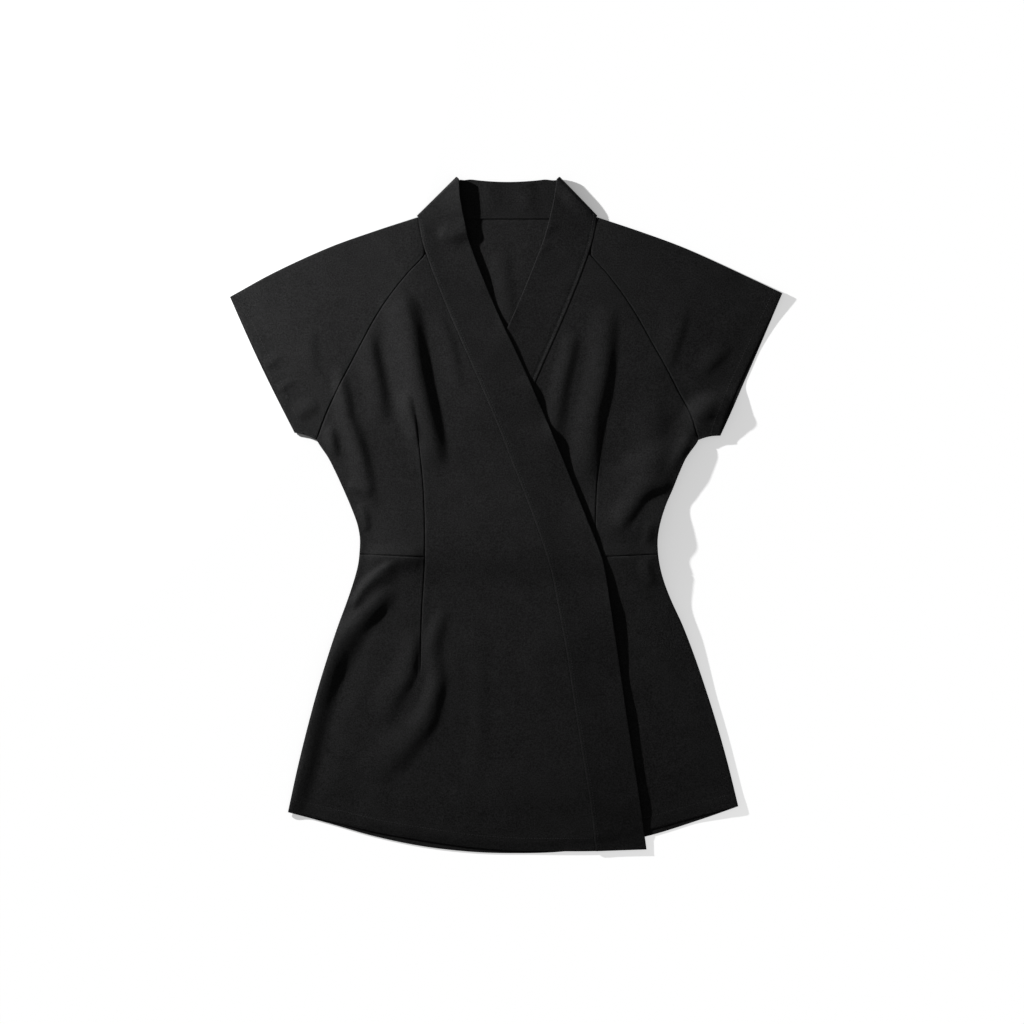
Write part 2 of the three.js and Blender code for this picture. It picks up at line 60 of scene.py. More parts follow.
# Colours of the cloth and the thread, and how far the weave's specks stray from them
PANEL_COLOUR = (0.0068, 0.0068, 0.0070)
BAND_COLOUR = (0.0064, 0.0064, 0.0066)
THREAD_COLOUR = (0.0100, 0.0100, 0.0102)
DARK_SPECK = 0.05
LIGHT_SPECK = 1.95

# Cloth: thickness of the panels and of the doubled band, and how far pieces lap at a seam
CLOTH = 0.0006
BAND_CLOTH = 0.0014
SEAM_LAP = 0.0005

# Middle heights: the back layer and the band's back part on the floor, each front over the back layer
REST = 0.0004
BAND_REST = 0.0010
SEAT = 0.0009
HEM_SEAT = 0.00068

# The right front settles softly over the left band, from above its hem and from outside its edge
LAYER_CLEARANCE = 0.0006
LAYER_SOFTNESS = 0.0004
LIES_ON_OUT = 0.006
LIES_ON_FADE = 0.010
UNDER_EDGE_OUT = 0.020
UNDER_EDGE_FADE = 0.026

# The band lies proud of its front, sinks a little on the left chest, and stands up at its free edge
BAND_PROUD = 0.0002
UNDER_BAND_SINK = 0.0002
UNDER_SINK_Y = 0.100
UNDER_SINK_FADE = 0.030
BAND_STAND_POWER = 1.5

# Loft: how far the fronts lift inside their edges, and over what distance
UPPER_LOFT = 0.0022
NECK_LOFT = 0.0005
UNDER_LOFT = 0.0008
SHOULDER_LOFT = 0.0008
SLEEVE_LOFT = 0.0001
SLEEVE_LOFT_REACH = 0.040
OPENING_REACH = 0.040
HEM_LOFT_SHARE = 0.03
HEM_LOFT_REACH = 0.055

# Beside the rolled edge of the skirt the right front's loft starts further in: distance, y, fade
ROLL_START = 0.014
ROLL_START_Y = -0.090
ROLL_START_FADE = 0.050

# Areas toward the neck and the shoulder where the loft changes: first x, x fade, first y, y fade
NECK_AREA = (-0.110, 0.050, 0.190, 0.060)
SHOULDER_AREA = (0.030, 0.060, 0.190, 0.090)

# Folds fade out toward their ends, the hem and the side edges, and run on into the sleeves
END_TAPER = 0.2
HEM_CALM_REACH = 0.022
FOLD_REACH = 0.012
RIPPLE_REACH = 0.020
SLEEVE_OUTREACH = 0.030
SLEEVE_OUTREACH_FADE = 0.025

# Ridge across the waist: its line, its height, how far it reaches, and its share on each front
WAIST_Y = -0.040
WAIST_RIDGE = 0.0034
WAIST_REACH_UP = 0.115
WAIST_REACH_DOWN = 0.048
WAIST_REACH_IN = 0.060
WAIST_SHARE = {"right": 1.0, "left": 0.6}

# Named levels up the garment
HEM_CORNER_Y = -0.3415
STRAIGHT_ROW_Y = -0.160
UNDERARM_Y = 0.086
RAGLAN_TOP_Y = 0.299
NECK_SEAM_Y = 0.3406
COLLAR_DIP_Y = 0.3829

# The under band and dart mirror the upper ones about half of these x
UNDER_SEAM_MIRROR = 0.0034
UNDER_EDGE_MIRROR = 0.0001
UNDER_DART_MIRROR = 0.0096

# Hems and edges
HEM_DEPTH = 0.016
CUFF_DEPTH = 0.011
HEM_STEP = 0.00018
HEM_STEP_FADE = 0.0015
EDGE_DROOP = 0.00025
EDGE_DROOP_REACH = 0.0024

# Stitching: how far in from a rim, the groove it pulls, and one stitch, as rings of place and width
HEM_STITCH_BACK = 0.0010
EDGE_STITCH_IN = 0.0040
STITCH_GROOVE = {"right": 0.00025, "left": 0.0006}
STITCH_GROOVE_WIDTH = 0.0007
STITCH_LENGTH = 0.0022
STITCH_PITCH = 0.0030
STITCH_RADIUS = 0.00028
STITCH_SINK = 0.00008
STITCH_BOW = 0.00016
STITCH_SIDES = 6
STITCH_RINGS = ((-1, 0.15), (-0.75, 0.8), (-0.25, 1), (0.25, 1), (0.75, 0.8), (1, 0.15))
THREAD_REST = 0.00005

# Seams: ditches, and the swell of the seam allowance inside the band
SEAM_DITCH = 0.0004
SEAM_DITCH_WIDTH = 0.0005
RAGLAN_DITCH = 0.0013
RAGLAN_DITCH_WIDTH = 0.0009
RAGLAN_FADE = 0.008
AT_BAND_FADE = 0.006
SEAM_SWELL = {"right": 0.0006, "left": 0.0001}
SEAM_SWELL_RISE = 0.0032
SEAM_SWELL_FALL = 0.0130

# Dart and slash: a ditch with a welt beside it, fading out past the dart's ends
DART_DITCH = 0.0009
DART_DITCH_WIDTH = 0.0007
DART_WELT = 0.0002
DART_WELT_WIDTH = 0.0050
DART_WELT_OUT = 0.004
DART_FOOT_OUT = 0.010
DART_FOOT_FADE = 0.020
DART_TOP_OUT = 0.004
DART_TOP_FADE = 0.024
DART_SHARE_AT_RAGLAN = 0.5
SLASH_FADE = 0.002

# Grids: the usual spacing of points, the spacings that round off a rim, and rows at a cross seam
STEP = 0.0027
COARSE_STEP = 0.0045
BAND_STEP = 0.0024
RIM_STEPS = (0, 0.00006, 0.0002, 0.0005, 0.0009, 0.0015, 0.0024, 0.0037)
CROSS_SEAM_REACH = 0.0045
CROSS_SEAM_ROWS = 15

# Rough sizes over which the lines of a grid are spread
BACK_WIDTH = 0.480
DART_SPREAD = 0.080
SEAM_SPREAD = 0.160
SLEEVE_LENGTH = 0.270
SLEEVE_WIDTH = 0.130
BAND_WIDTH = 0.058

# Numbers of points along curves, round rolls and where the band's parts meet
PATH_STEPS = 8
TANGENT_STEP = 0.01
SEAM_POINTS = 60
NECK_POINTS = 12
NECK_POINTS_START = 0.004
SLEEVE_ROLL_POINTS = 15
NECK_ROLL_POINTS = 17
TAIL_ROWS = 24
TAIL_STEP = 6
JOIN_ROWS = 5
MEET_ROWS = 14
COLLAR_ROW_COUNT = 52
COLLAR_MEET_SHARE = 0.16

# Side edges from hem to sleeve tip: y, right x, left x
EDGE_ROWS = np.array([
    (-0.3415, -0.2506, 0.2685),
    (-0.290, -0.2393, 0.2560),
    (-0.244, -0.2280, 0.2433),
    (-0.200, -0.2161, 0.2295),
    (-0.160, -0.2038, 0.2157),
    (-0.126, -0.1926, 0.2025),
    (-0.098, -0.1823, 0.1896),
    (-0.076, -0.1750, 0.1811),
    (-0.058, -0.1702, 0.1763),
    (-0.042, -0.1683, 0.1741),
    (-0.026, -0.1680, 0.1740),
    (-0.010, -0.1710, 0.1766),
    (0.010, -0.1784, 0.1829),
    (0.030, -0.1870, 0.1915),
    (0.050, -0.1962, 0.1995),
    (0.066, -0.2044, 0.2070),
    (0.086, -0.2175, 0.2210),
    (0.120, -0.2320, 0.2360),
    (0.180, -0.2620, 0.2660),
    (0.255, -0.3180, 0.3180),
])

# How the side edges stand up off the floor: y, lift, and how far in it fades
CURL_ROWS = {
    "right": np.array([
        (-0.3415, 0.0012, 0.030),
        (-0.200, 0.0006, 0.030),
        (-0.098, 0.0008, 0.040),
        (0.030, 0.0010, 0.050),
        (0.086, 0.0012, 0.045),
        (0.120, 0.0006, 0.050),
        (0.255, 0.0002, 0.050),
    ]),
    "left": np.array([
        (-0.335, 0.0024, 0.060),
        (-0.305, 0.0018, 0.060),
        (-0.238, 0.0021, 0.060),
        (-0.192, 0.0026, 0.070),
        (-0.129, 0.0050, 0.090),
        (-0.092, 0.0064, 0.110),
        (-0.062, 0.0094, 0.120),
        (-0.045, 0.0103, 0.120),
        (-0.031, 0.0094, 0.120),
        (-0.013, 0.0111, 0.120),
        (0.000, 0.0094, 0.120),
        (0.020, 0.0057, 0.110),
        (0.036, 0.0064, 0.100),
        (0.058, 0.0076, 0.090),
        (0.078, 0.0064, 0.070),
        (0.091, 0.0040, 0.050),
        (0.106, 0.0058, 0.040),
        (0.119, 0.0066, 0.036),
        (0.135, 0.0034, 0.036),
        (0.150, 0.0003, 0.036),
        (0.184, 0.0, 0.036),
        (0.218, 0.0008, 0.045),
        (0.252, 0.0025, 0.050),
    ]),
}

# Raglan seams from underarm to neck seam: y, right x, left x
RAGLAN_ROWS = np.array([
    (0.086, -0.2175, 0.2210),
    (0.116, -0.2065, 0.2120),
    (0.144, -0.1937, 0.1974),
    (0.172, -0.1794, 0.1829),
    (0.200, -0.1647, 0.1670),
    (0.228, -0.1495, 0.1513),
    (0.254, -0.1321, 0.1345),
    (0.278, -0.1128, 0.1160),
    (0.299, -0.0934, 0.0976),
    (0.320, -0.0815, 0.0855),
    (0.341, -0.0700, 0.0735),
])

# The upper front band from hem to raglan: y, seam x, free edge x
BAND_ROWS = np.array([
    (-0.386, 0.1032, 0.1618),
    (-0.330, 0.0970, 0.1541),
    (-0.244, 0.0829, 0.1409),
    (-0.160, 0.0702, 0.1287),
    (-0.098, 0.0589, 0.1193),
    (-0.070, 0.0535, 0.1150),
    (-0.050, 0.0481, 0.1106),
    (-0.030, 0.0416, 0.1034),
    (0.000, 0.0309, 0.0913),
    (0.060, 0.0076, 0.0672),
    (0.116, -0.0145, 0.0437),
    (0.172, -0.0386, 0.0191),
    (0.228, -0.0632, -0.0074),
    (0.278, -0.0835, -0.0285),
    (0.299, -0.0916, -0.0369),
])

# How far the free edge of the upper band stands off the under front: y, height
EDGE_STAND_ROWS = np.array([
    (-0.386, 0.0004),
    (-0.353, 0.0004),
    (-0.325, 0.0016),
    (-0.279, 0.0012),
    (-0.224, 0.0019),
    (-0.178, 0.0010),
    (-0.151, 0.0019),
    (-0.123, 0.0030),
    (-0.100, 0.0031),
    (-0.077, 0.0016),
    (-0.054, 0.0),
    (-0.030, 0.0),
    (0.006, 0.0018),
    (0.036, 0.0007),
    (0.072, 0.0023),
    (0.091, 0.0028),
    (0.109, 0.0002),
    (0.146, 0.0015),
    (0.164, 0.0),
    (0.200, 0.0004),
    (0.220, 0.0),
    (0.249, 0.0002),
    (0.263, 0.0012),
    (0.278, 0.0019),
    (0.299, 0.0021),
])

# The collar from raglan to neck fold: seam x, seam y, free edge x, free edge y, stand of the free edge
COLLAR_ROWS = {
    "right": np.array([
        (-0.0946, 0.310, -0.0416, 0.313, 0.0022),
        (-0.0972, 0.321, -0.0458, 0.330, 0.0031),
        (-0.0992, 0.331, -0.0496, 0.349, 0.0064),
        (-0.1006, 0.338, -0.0526, 0.366, 0.0074),
    ]),
    "left": np.array([
        (0.0978, 0.310, 0.0420, 0.313, 0.0010),
        (0.1004, 0.321, 0.0472, 0.330, 0.0018),
        (0.1026, 0.331, 0.0520, 0.349, 0.0026),
        (0.1036, 0.338, 0.0556, 0.366, 0.0030),
    ]),
}
NECK_FOLD = {
    "right": {"corner": (-0.1026, 0.3438), "apex": (-0.0570, 0.3885), "stand": 0.0068},
    "left": {"corner": (0.1052, 0.3438), "apex": (0.0616, 0.3885), "stand": 0.0030},
}

# Sleeves: points of the shoulder fold from neck to tip, and the cuff's lower corner
SHOULDER_POINTS = {
    "right": np.array([
        (-0.1012, 0.3424), (-0.1535, 0.3254), (-0.2045, 0.3070), (-0.2650, 0.2794), (-0.3175, 0.2507),
    ]),
    "left": np.array([
        (0.1038, 0.3426), (0.1554, 0.3254), (0.2052, 0.3070), (0.2662, 0.2794), (0.3175, 0.2547),
    ]),
}
CUFF_CORNER = {"right": (-0.2430, 0.0945), "left": (0.2462, 0.0910)}

# The cuff bows outward, and its front layer falls short of the back one, on the left nearer its corner
CUFF_BOW = {"right": 0.0020, "left": 0.0008}
CUFF_SHORT = {"right": 0.0030, "left": 0.0050}
CUFF_SHORT_LEAN = {"right": 1.0, "left": 0.55}
UNDERARM_SAG = 0.0015

# Hem edges of the three panels: x, y
HEM_ROWS = {
    "back": np.array([
        (-0.2507, -0.3415), (-0.200, -0.3555), (-0.150, -0.3697), (-0.095, -0.3810), (-0.040, -0.3872),
        (0.008, -0.3888), (0.062, -0.3873), (0.110, -0.3805), (0.168, -0.3678), (0.223, -0.3504),
        (0.267, -0.3346),
    ]),
    "right": np.array([
        (-0.2507, -0.3415), (-0.200, -0.3528), (-0.150, -0.3645), (-0.095, -0.3742), (-0.040, -0.3820),
        (0.008, -0.3857), (0.062, -0.3866), (0.103, -0.3864), (0.162, -0.3841),
    ]),
    "left": np.array([
        (-0.160, -0.3570), (-0.098, -0.3690), (-0.040, -0.3765), (0.020, -0.3790), (0.075, -0.3760),
        (0.120, -0.3705), (0.167, -0.3615), (0.1955, -0.3540), (0.223, -0.3465), (0.267, -0.3346),
    ]),
}

# Fish-eye dart of the right front: y, x. The sewn slash runs from the side seam to it
DART_ROWS = np.array([
    (-0.178, -0.0982), (-0.115, -0.0968), (-0.048, -0.0932), (0.022, -0.0943), (0.074, -0.0989),
    (0.116, -0.1034),
])
SLASH_Y = {"side": -0.0452, "dart": -0.0483}

# Fold ridges (troughs below 0), shaded side on the left hand: x, y, height, lit width, shaded width
FOLDS = {
    "right": {
        "bust": (
            (-0.1346, 0.27, 0.0013, 0.034, 0.015), (-0.1196, 0.247, 0.003, 0.034, 0.018),
            (-0.1116, 0.222, 0.005, 0.034, 0.02), (-0.1024, 0.167, 0.0064, 0.033, 0.02),
            (-0.093, 0.122, 0.0064, 0.033, 0.02), (-0.0845, 0.088, 0.0052, 0.033, 0.019),
            (-0.079, 0.064, 0.0028, 0.03, 0.018), (-0.075, 0.036, 0.0004, 0.026, 0.016),
        ),
        "beside_chest": (
            (-0.15, 0.214, -0.0003, 0.014, 0.012), (-0.143, 0.19, -0.001, 0.014, 0.014),
            (-0.137, 0.16, -0.0012, 0.014, 0.014), (-0.13, 0.128, -0.001, 0.014, 0.014),
            (-0.124, 0.1, -0.0003, 0.014, 0.012),
        ),
        "beside_bust": (
            (-0.0817, 0.2335, 0.0004, 0.016, 0.01), (-0.0644, 0.1955, 0.0011, 0.016, 0.011),
            (-0.0529, 0.1403, 0.0004, 0.016, 0.01),
        ),
        "dart_top": (
            (-0.116, 0.146, 0.0014, 0.014, 0.008), (-0.1116, 0.1185, 0.0036, 0.015, 0.01),
            (-0.1058, 0.1, 0.0032, 0.014, 0.008), (-0.102, 0.075, 0.0008, 0.012, 0.007),
        ),
        "chest_side": (
            (-0.1576, 0.2127, 0.0012, 0.022, 0.011), (-0.1541, 0.1875, 0.0024, 0.022, 0.012),
            (-0.1478, 0.155, 0.0025, 0.022, 0.013), (-0.144, 0.13, 0.0018, 0.022, 0.012),
            (-0.141, 0.095, 0.0006, 0.02, 0.011),
        ),
        "underarm_long": (
            (-0.1905, 0.176, 0.0008, 0.012, 0.01), (-0.1895, 0.155, 0.0026, 0.014, 0.011),
            (-0.1855, 0.132, 0.0034, 0.016, 0.012), (-0.1812, 0.109, 0.0034, 0.018, 0.012),
            (-0.1715, 0.086, 0.004, 0.018, 0.012), (-0.1648, 0.063, 0.0034, 0.02, 0.012),
            (-0.1602, 0.04, 0.0026, 0.02, 0.012), (-0.1556, 0.017, 0.0016, 0.018, 0.012),
            (-0.152, -0.005, 0.0004, 0.018, 0.012),
        ),
        "underarm_short": (
            (-0.203, 0.104, 0.0012, 0.01, 0.008), (-0.1996, 0.086, 0.0036, 0.012, 0.009),
            (-0.196, 0.062, 0.001, 0.012, 0.009),
        ),
        "side_crease": (
            (-0.154, 0.022, 0.0004, 0.013, 0.007), (-0.168, 0.029, 0.0014, 0.015, 0.008),
            (-0.184, 0.034, 0.001, 0.013, 0.007),
        ),
        "side_dent": (
            (-0.17, 0.014, 0.0008, 0.012, 0.009), (-0.1632, -0.004, 0.0026, 0.012, 0.01),
            (-0.162, -0.022, 0.0008, 0.012, 0.009),
        ),
        "below_waist": (
            (-0.12, -0.052, 0.001, 0.006, 0.022), (-0.1392, -0.061, 0.0031, 0.007, 0.023),
            (-0.1553, -0.0748, 0.0048, 0.009, 0.019), (-0.1656, -0.0863, 0.0048, 0.009, 0.015),
            (-0.1748, -0.0978, 0.0052, 0.009, 0.013), (-0.186, -0.111, 0.0016, 0.008, 0.011),
        ),
        "skirt_left": (
            (-0.106, -0.118, 0.0004, 0.018, 0.01), (-0.106, -0.143, 0.0018, 0.02, 0.01),
            (-0.108, -0.165, 0.003, 0.022, 0.01), (-0.114, -0.1875, 0.003, 0.026, 0.013),
            (-0.1275, -0.2105, 0.0023, 0.028, 0.014), (-0.1375, -0.2335, 0.0012, 0.03, 0.015),
            (-0.15, -0.262, 0.0003, 0.03, 0.016),
        ),
        "dart_foot": (
            (-0.0745, -0.098, 0.001, 0.014, 0.013), (-0.0745, -0.115, 0.003, 0.014, 0.015),
            (-0.0834, -0.1437, 0.0028, 0.015, 0.016), (-0.0834, -0.1667, 0.0028, 0.015, 0.016),
            (-0.0793, -0.1897, 0.0036, 0.016, 0.016), (-0.0844, -0.2097, 0.0041, 0.016, 0.018),
            (-0.0906, -0.2311, 0.0038, 0.022, 0.02), (-0.1036, -0.2517, 0.0034, 0.028, 0.021),
            (-0.1235, -0.2732, 0.0031, 0.034, 0.025), (-0.145, -0.296, 0.0022, 0.034, 0.025),
            (-0.16, -0.315, 0.0004, 0.032, 0.024),
        ),
        "under_slash": (
            (-0.09, -0.049, 0.001, 0.018, 0.02), (-0.115, -0.048, 0.0028, 0.018, 0.022),
            (-0.14, -0.047, 0.0026, 0.018, 0.022), (-0.164, -0.046, 0.0006, 0.016, 0.018),
        ),
        "skirt_middle": (
            (-0.03, -0.1, 0.0003, 0.018, 0.016), (-0.03, -0.18, 0.0009, 0.018, 0.016),
            (-0.031, -0.26, 0.0009, 0.018, 0.016), (-0.032, -0.33, 0.0003, 0.018, 0.016),
        ),
        "skirt_right": (
            (0.03, -0.14, 0.0003, 0.02, 0.014), (0.04, -0.19, 0.0008, 0.02, 0.014),
            (0.052, -0.24, 0.0003, 0.02, 0.014),
        ),
        "hem_sag": (
            (0.112, -0.318, 0.0005, 0.06, 0.028), (0.04, -0.32, 0.0012, 0.06, 0.028),
            (-0.03, -0.322, 0.0005, 0.06, 0.028),
        ),
    },
    "left": {
        "bust": (
            (0.119, 0.25, 0.0006, 0.024, 0.014), (0.1173, 0.2277, 0.0019, 0.026, 0.016),
            (0.1144, 0.19, 0.0033, 0.026, 0.017), (0.1092, 0.152, 0.0039, 0.026, 0.018),
            (0.1006, 0.113, 0.004, 0.028, 0.018), (0.0966, 0.078, 0.0034, 0.028, 0.017),
            (0.0952, 0.05, 0.0024, 0.028, 0.016), (0.095, 0.026, 0.0006, 0.024, 0.015),
        ),
        "chest_middle": (
            (0.08, 0.217, 0.0007, 0.014, 0.009), (0.074, 0.19, 0.0019, 0.016, 0.012),
            (0.0656, 0.155, 0.0022, 0.018, 0.013), (0.0575, 0.109, 0.0015, 0.018, 0.013),
            (0.0529, 0.075, 0.0004, 0.016, 0.012),
        ),
        "chest_side": (
            (0.164, 0.14, 0.0005, 0.036, 0.026), (0.171, 0.098, 0.0026, 0.038, 0.026),
            (0.168, 0.06, 0.0028, 0.038, 0.026), (0.158, 0.015, 0.0008, 0.034, 0.022),
        ),
        "side_crease": (
            (0.2, 0.037, 0.0015, 0.018, 0.012), (0.188, 0.0368, 0.0016, 0.019, 0.012),
            (0.1764, 0.0345, 0.0019, 0.02, 0.013), (0.165, 0.0302, 0.0025, 0.021, 0.013),
            (0.1553, 0.024, 0.0031, 0.022, 0.013), (0.1438, 0.0092, 0.0036, 0.022, 0.014),
            (0.1323, -0.0069, 0.0031, 0.02, 0.013), (0.12, -0.023, 0.0006, 0.018, 0.012),
        ),
        "side_turn": (
            (0.214, 0.104, 0.0006, 0.014, 0.01), (0.209, 0.084, 0.0019, 0.015, 0.011),
            (0.198, 0.062, 0.0018, 0.015, 0.011), (0.188, 0.046, 0.0005, 0.014, 0.01),
        ),
        "waist_side": (
            (0.168, -0.004, 0.0003, 0.011, 0.009), (0.1645, -0.022, 0.0014, 0.012, 0.01),
            (0.16, -0.04, 0.0003, 0.011, 0.009),
        ),
        "hip_side": (
            (0.16, -0.046, 0.0004, 0.012, 0.009), (0.1625, -0.064, 0.0018, 0.013, 0.01),
            (0.17, -0.084, 0.0003, 0.012, 0.009),
        ),
    },
    "right_sleeve": {
        "middle": (
            (-0.226, 0.218, 0.0003, 0.016, 0.012), (-0.224, 0.186, 0.0009, 0.016, 0.012),
            (-0.218, 0.156, 0.0003, 0.014, 0.012),
        ),
        "cuff_corner": (
            (-0.214, 0.128, 0.0004, 0.016, 0.012), (-0.228, 0.122, 0.0016, 0.018, 0.014),
            (-0.244, 0.112, 0.001, 0.016, 0.012),
        ),
        "cuff_dent_high": (
            (-0.256, 0.184, 0.0003, 0.01, 0.008), (-0.268, 0.176, 0.0008, 0.01, 0.008),
            (-0.28, 0.17, 0.0003, 0.01, 0.008),
        ),
        "cuff_dent_low": (
            (-0.242, 0.156, 0.0003, 0.01, 0.008), (-0.254, 0.148, 0.0008, 0.01, 0.008),
            (-0.264, 0.142, 0.0003, 0.01, 0.008),
        ),
    },
    "left_sleeve": {
        "from_shoulder": (
            (0.206, 0.245, 0.0003, 0.024, 0.01), (0.202, 0.222, 0.0013, 0.028, 0.011),
            (0.192, 0.19, 0.0013, 0.026, 0.011), (0.183, 0.161, 0.0003, 0.022, 0.01),
        ),
        "from_cuff": (
            (0.26, 0.199, 0.0003, 0.018, 0.01), (0.2392, 0.178, 0.0018, 0.02, 0.012),
            (0.22, 0.16, 0.0003, 0.018, 0.01),
        ),
        "underarm": (
            (0.262, 0.13, 0.0004, 0.014, 0.018), (0.244, 0.128, 0.003, 0.017, 0.022),
            (0.224, 0.123, 0.005, 0.017, 0.022), (0.206, 0.114, 0.0014, 0.014, 0.018),
        ),
    },
    "back": {
        "neck": (
            (-0.004, 0.318, 0.0002, 0.018, 0.012), (-0.003, 0.28, 0.0011, 0.02, 0.014),
            (0.002, 0.24, 0.001, 0.02, 0.014), (0.004, 0.2, 0.0002, 0.018, 0.012),
        ),
    },
    "collar": {
        "fold_break": (
            (-0.036, 0.331, 0.0014, 0.02, 0.013), (-0.048, 0.325, 0.0026, 0.02, 0.014),
            (-0.062, 0.322, 0.0028, 0.02, 0.014), (-0.082, 0.326, 0.0008, 0.018, 0.012),
        ),
        "left_roll": (
            (0.05, 0.4, 0.0034, 0.02, 0.024), (0.068, 0.382, 0.004, 0.02, 0.026),
            (0.086, 0.364, 0.0042, 0.02, 0.026), (0.112, 0.337, 0.001, 0.018, 0.024),
        ),
        "left_dent_high": (
            (0.06, 0.333, 0.0004, 0.01, 0.006), (0.051, 0.329, 0.0009, 0.01, 0.007),
            (0.042, 0.324, 0.0007, 0.01, 0.006),
        ),
        "left_dent_low": (
            (0.052, 0.31, 0.0003, 0.009, 0.006), (0.045, 0.306, 0.0007, 0.009, 0.006),
            (0.038, 0.302, 0.0005, 0.009, 0.006),
        ),
    },
    "collar_back": {
        "right_of_middle": (
            (-0.018, 0.386, 0.0004, 0.014, 0.017), (-0.018, 0.366, 0.0005, 0.014, 0.017),
            (-0.02, 0.344, 0.0002, 0.014, 0.014),
        ),
        "left_of_middle": (
            (0.026, 0.388, 0.0006, 0.02, 0.012), (0.026, 0.366, 0.0007, 0.02, 0.012),
            (0.028, 0.342, 0.0002, 0.017, 0.012),
        ),
    },
}

# The skirt's side edge on the right is rolled up: x, y, height, outer width, inner width
SIDE_ROLL = (
    (-0.118, -0.072, 0.001, 0.014, 0.016), (-0.1335, -0.085, 0.0048, 0.016, 0.018),
    (-0.15, -0.1, 0.0055, 0.018, 0.021), (-0.169, -0.1208, 0.0052, 0.02, 0.023),
    (-0.1874, -0.1437, 0.0058, 0.02, 0.027), (-0.1995, -0.1667, 0.0059, 0.018, 0.027),
    (-0.2076, -0.1897, 0.0052, 0.016, 0.024), (-0.215, -0.2127, 0.0048, 0.015, 0.023),
    (-0.2208, -0.2357, 0.0042, 0.014, 0.022), (-0.2265, -0.2587, 0.0041, 0.013, 0.021),
    (-0.2317, -0.2817, 0.004, 0.012, 0.021), (-0.2375, -0.3047, 0.0034, 0.011, 0.019),
    (-0.2425, -0.326, 0.0025, 0.01, 0.017), (-0.247, -0.345, 0.0012, 0.009, 0.014),
    (-0.25, -0.365, 0.0004, 0.009, 0.014),
)

# Faint waves all over the cloth: wave number across, wave number up, phase, height
RIPPLES = (
    (31, 12, 0.4, 0.00022),
    (-17, 41, 2.1, 0.00020),
    (57, -23, 1.0, 0.00010),
    (88, 49, 4.0, 0.00006),
    (-64, 103, 0.9, 0.00004),
)


def ease(t):
    """Soft step from 0 to 1."""
    t = np.clip(t, 0, 1)
    return t * t * (3 - 2 * t)


def mix(a, b, t):
    """The value at share t of the way from a to b."""
    return a + (b - a) * t


def hump(t):
    """Rounded ridge: 1 at its crest, where t is 0, and 0 from t = 1 on."""
    return 0.5 * (1 + np.cos(np.pi * np.clip(t, 0, 1)))


def between_ends(share):
    """1 along the middle of a fold, fading to 0 at both of its ends."""
    return ease(share / END_TAPER) * ease((1 - share) / END_TAPER)


def within(area, x, y):
    """Share of an area that a point has: 0 before its first x or y, and 1 past both fades."""
    first_x, fade_x, first_y, fade_y = area
    return ease((y - first_y) / fade_y) * ease((x - first_x) / fade_x)


def curve(keys, values):
    """Cubic curve through values at keys, read at any array of places."""
    keys = np.asarray(keys, float)
    values = np.asarray(values, float)
    last = len(keys) - 1
    before = np.maximum(np.arange(last + 1) - 1, 0)
    after = np.minimum(np.arange(last + 1) + 1, last)
    tangents = (values[after] - values[before]) / (keys[after] - keys[before])

    def at(place):
        place = np.clip(place, keys[0], keys[last])
        i = np.clip(np.searchsorted(keys, place, side="right") - 1, 0, last - 1)
        span = keys[i + 1] - keys[i]
        t = (place - keys[i]) / span
        low = values[i] * (2 * t**3 - 3 * t**2 + 1) + tangents[i] * span * (t**3 - 2 * t**2 + t)
        high = values[i + 1] * (3 * t**2 - 2 * t**3) + tangents[i + 1] * span * (t**3 - t**2)
        return low + high

    return at


def columns_of(rows):
    """Curves of every later column of a table over its first one."""
    return [curve(rows[:, 0], rows[:, n]) for n in range(1, rows.shape[1])]


edge_right, edge_left = columns_of(EDGE_ROWS)
raglan_right, raglan_left = columns_of(RAGLAN_ROWS)
band_seam, band_edge = columns_of(BAND_ROWS)
(edge_stand,) = columns_of(EDGE_STAND_ROWS)
(dart_line,) = columns_of(DART_ROWS)
hem_line = {name: columns_of(rows)[0] for name, rows in HEM_ROWS.items()}
curls = {side: columns_of(rows) for side, rows in CURL_ROWS.items()}
RAGLAN = {"right": raglan_right, "left": raglan_left}
INWARD = {"right": 1, "left": -1}


def ridge(rows, x, y):
    """Height at x, y of one fold ridge along a path, steeper on its shaded side."""
    rows = np.array(rows)
    knots = np.arange(len(rows))
    fine = np.linspace(0, len(rows) - 1, PATH_STEPS * (len(rows) - 1) + 1)
    path = np.stack([curve(knots, rows[:, n])(fine) for n in range(rows.shape[1])], axis=1)
    height = np.zeros(np.shape(x))
    reach = path[:, 3:].max()
    low = path[:, :2].min(axis=0) - reach
    high = path[:, :2].max(axis=0) + reach
    near = (x > low[0]) & (x < high[0]) & (y > low[1]) & (y < high[1])
    if not near.any():
        return height
    point = np.stack([x[near], y[near]], axis=1)[:, None, :]
    start = path[:-1, :2]
    along = path[1:, :2] - start
    t = np.clip(((point - start) * along).sum(axis=2) / (along**2).sum(axis=1), 0, 1)
    offset = point - (start + along * t[:, :, None])
    distance = np.hypot(offset[:, :, 0], offset[:, :, 1])
    nearest = distance.argmin(axis=1)
    pick = np.arange(len(nearest))
    t = t[pick, nearest]
    offset = offset[pick, nearest]
    direction = along[nearest]
    shaded = direction[:, 0] * offset[:, 1] - direction[:, 1] * offset[:, 0] > 0
    crest, lit, shade = (mix(path[nearest, n], path[nearest + 1, n], t) for n in (2, 3, 4))
    away = distance[pick, nearest] / np.where(shaded, shade, lit)
    share = (nearest + t) / len(along)
    height[near] = crest * between_ends(share) * hump(away)
    return height


def folds(name, x, y):
    """Height of all the fold ridges of one piece."""
    return sum(ridge(rows, x, y) for rows in FOLDS[name].values())


def ripples(x, y):
    """Height of the faint waves."""
    return sum(height * np.sin(across * x + up * y + phase) for across, up, phase, height in RIPPLES)


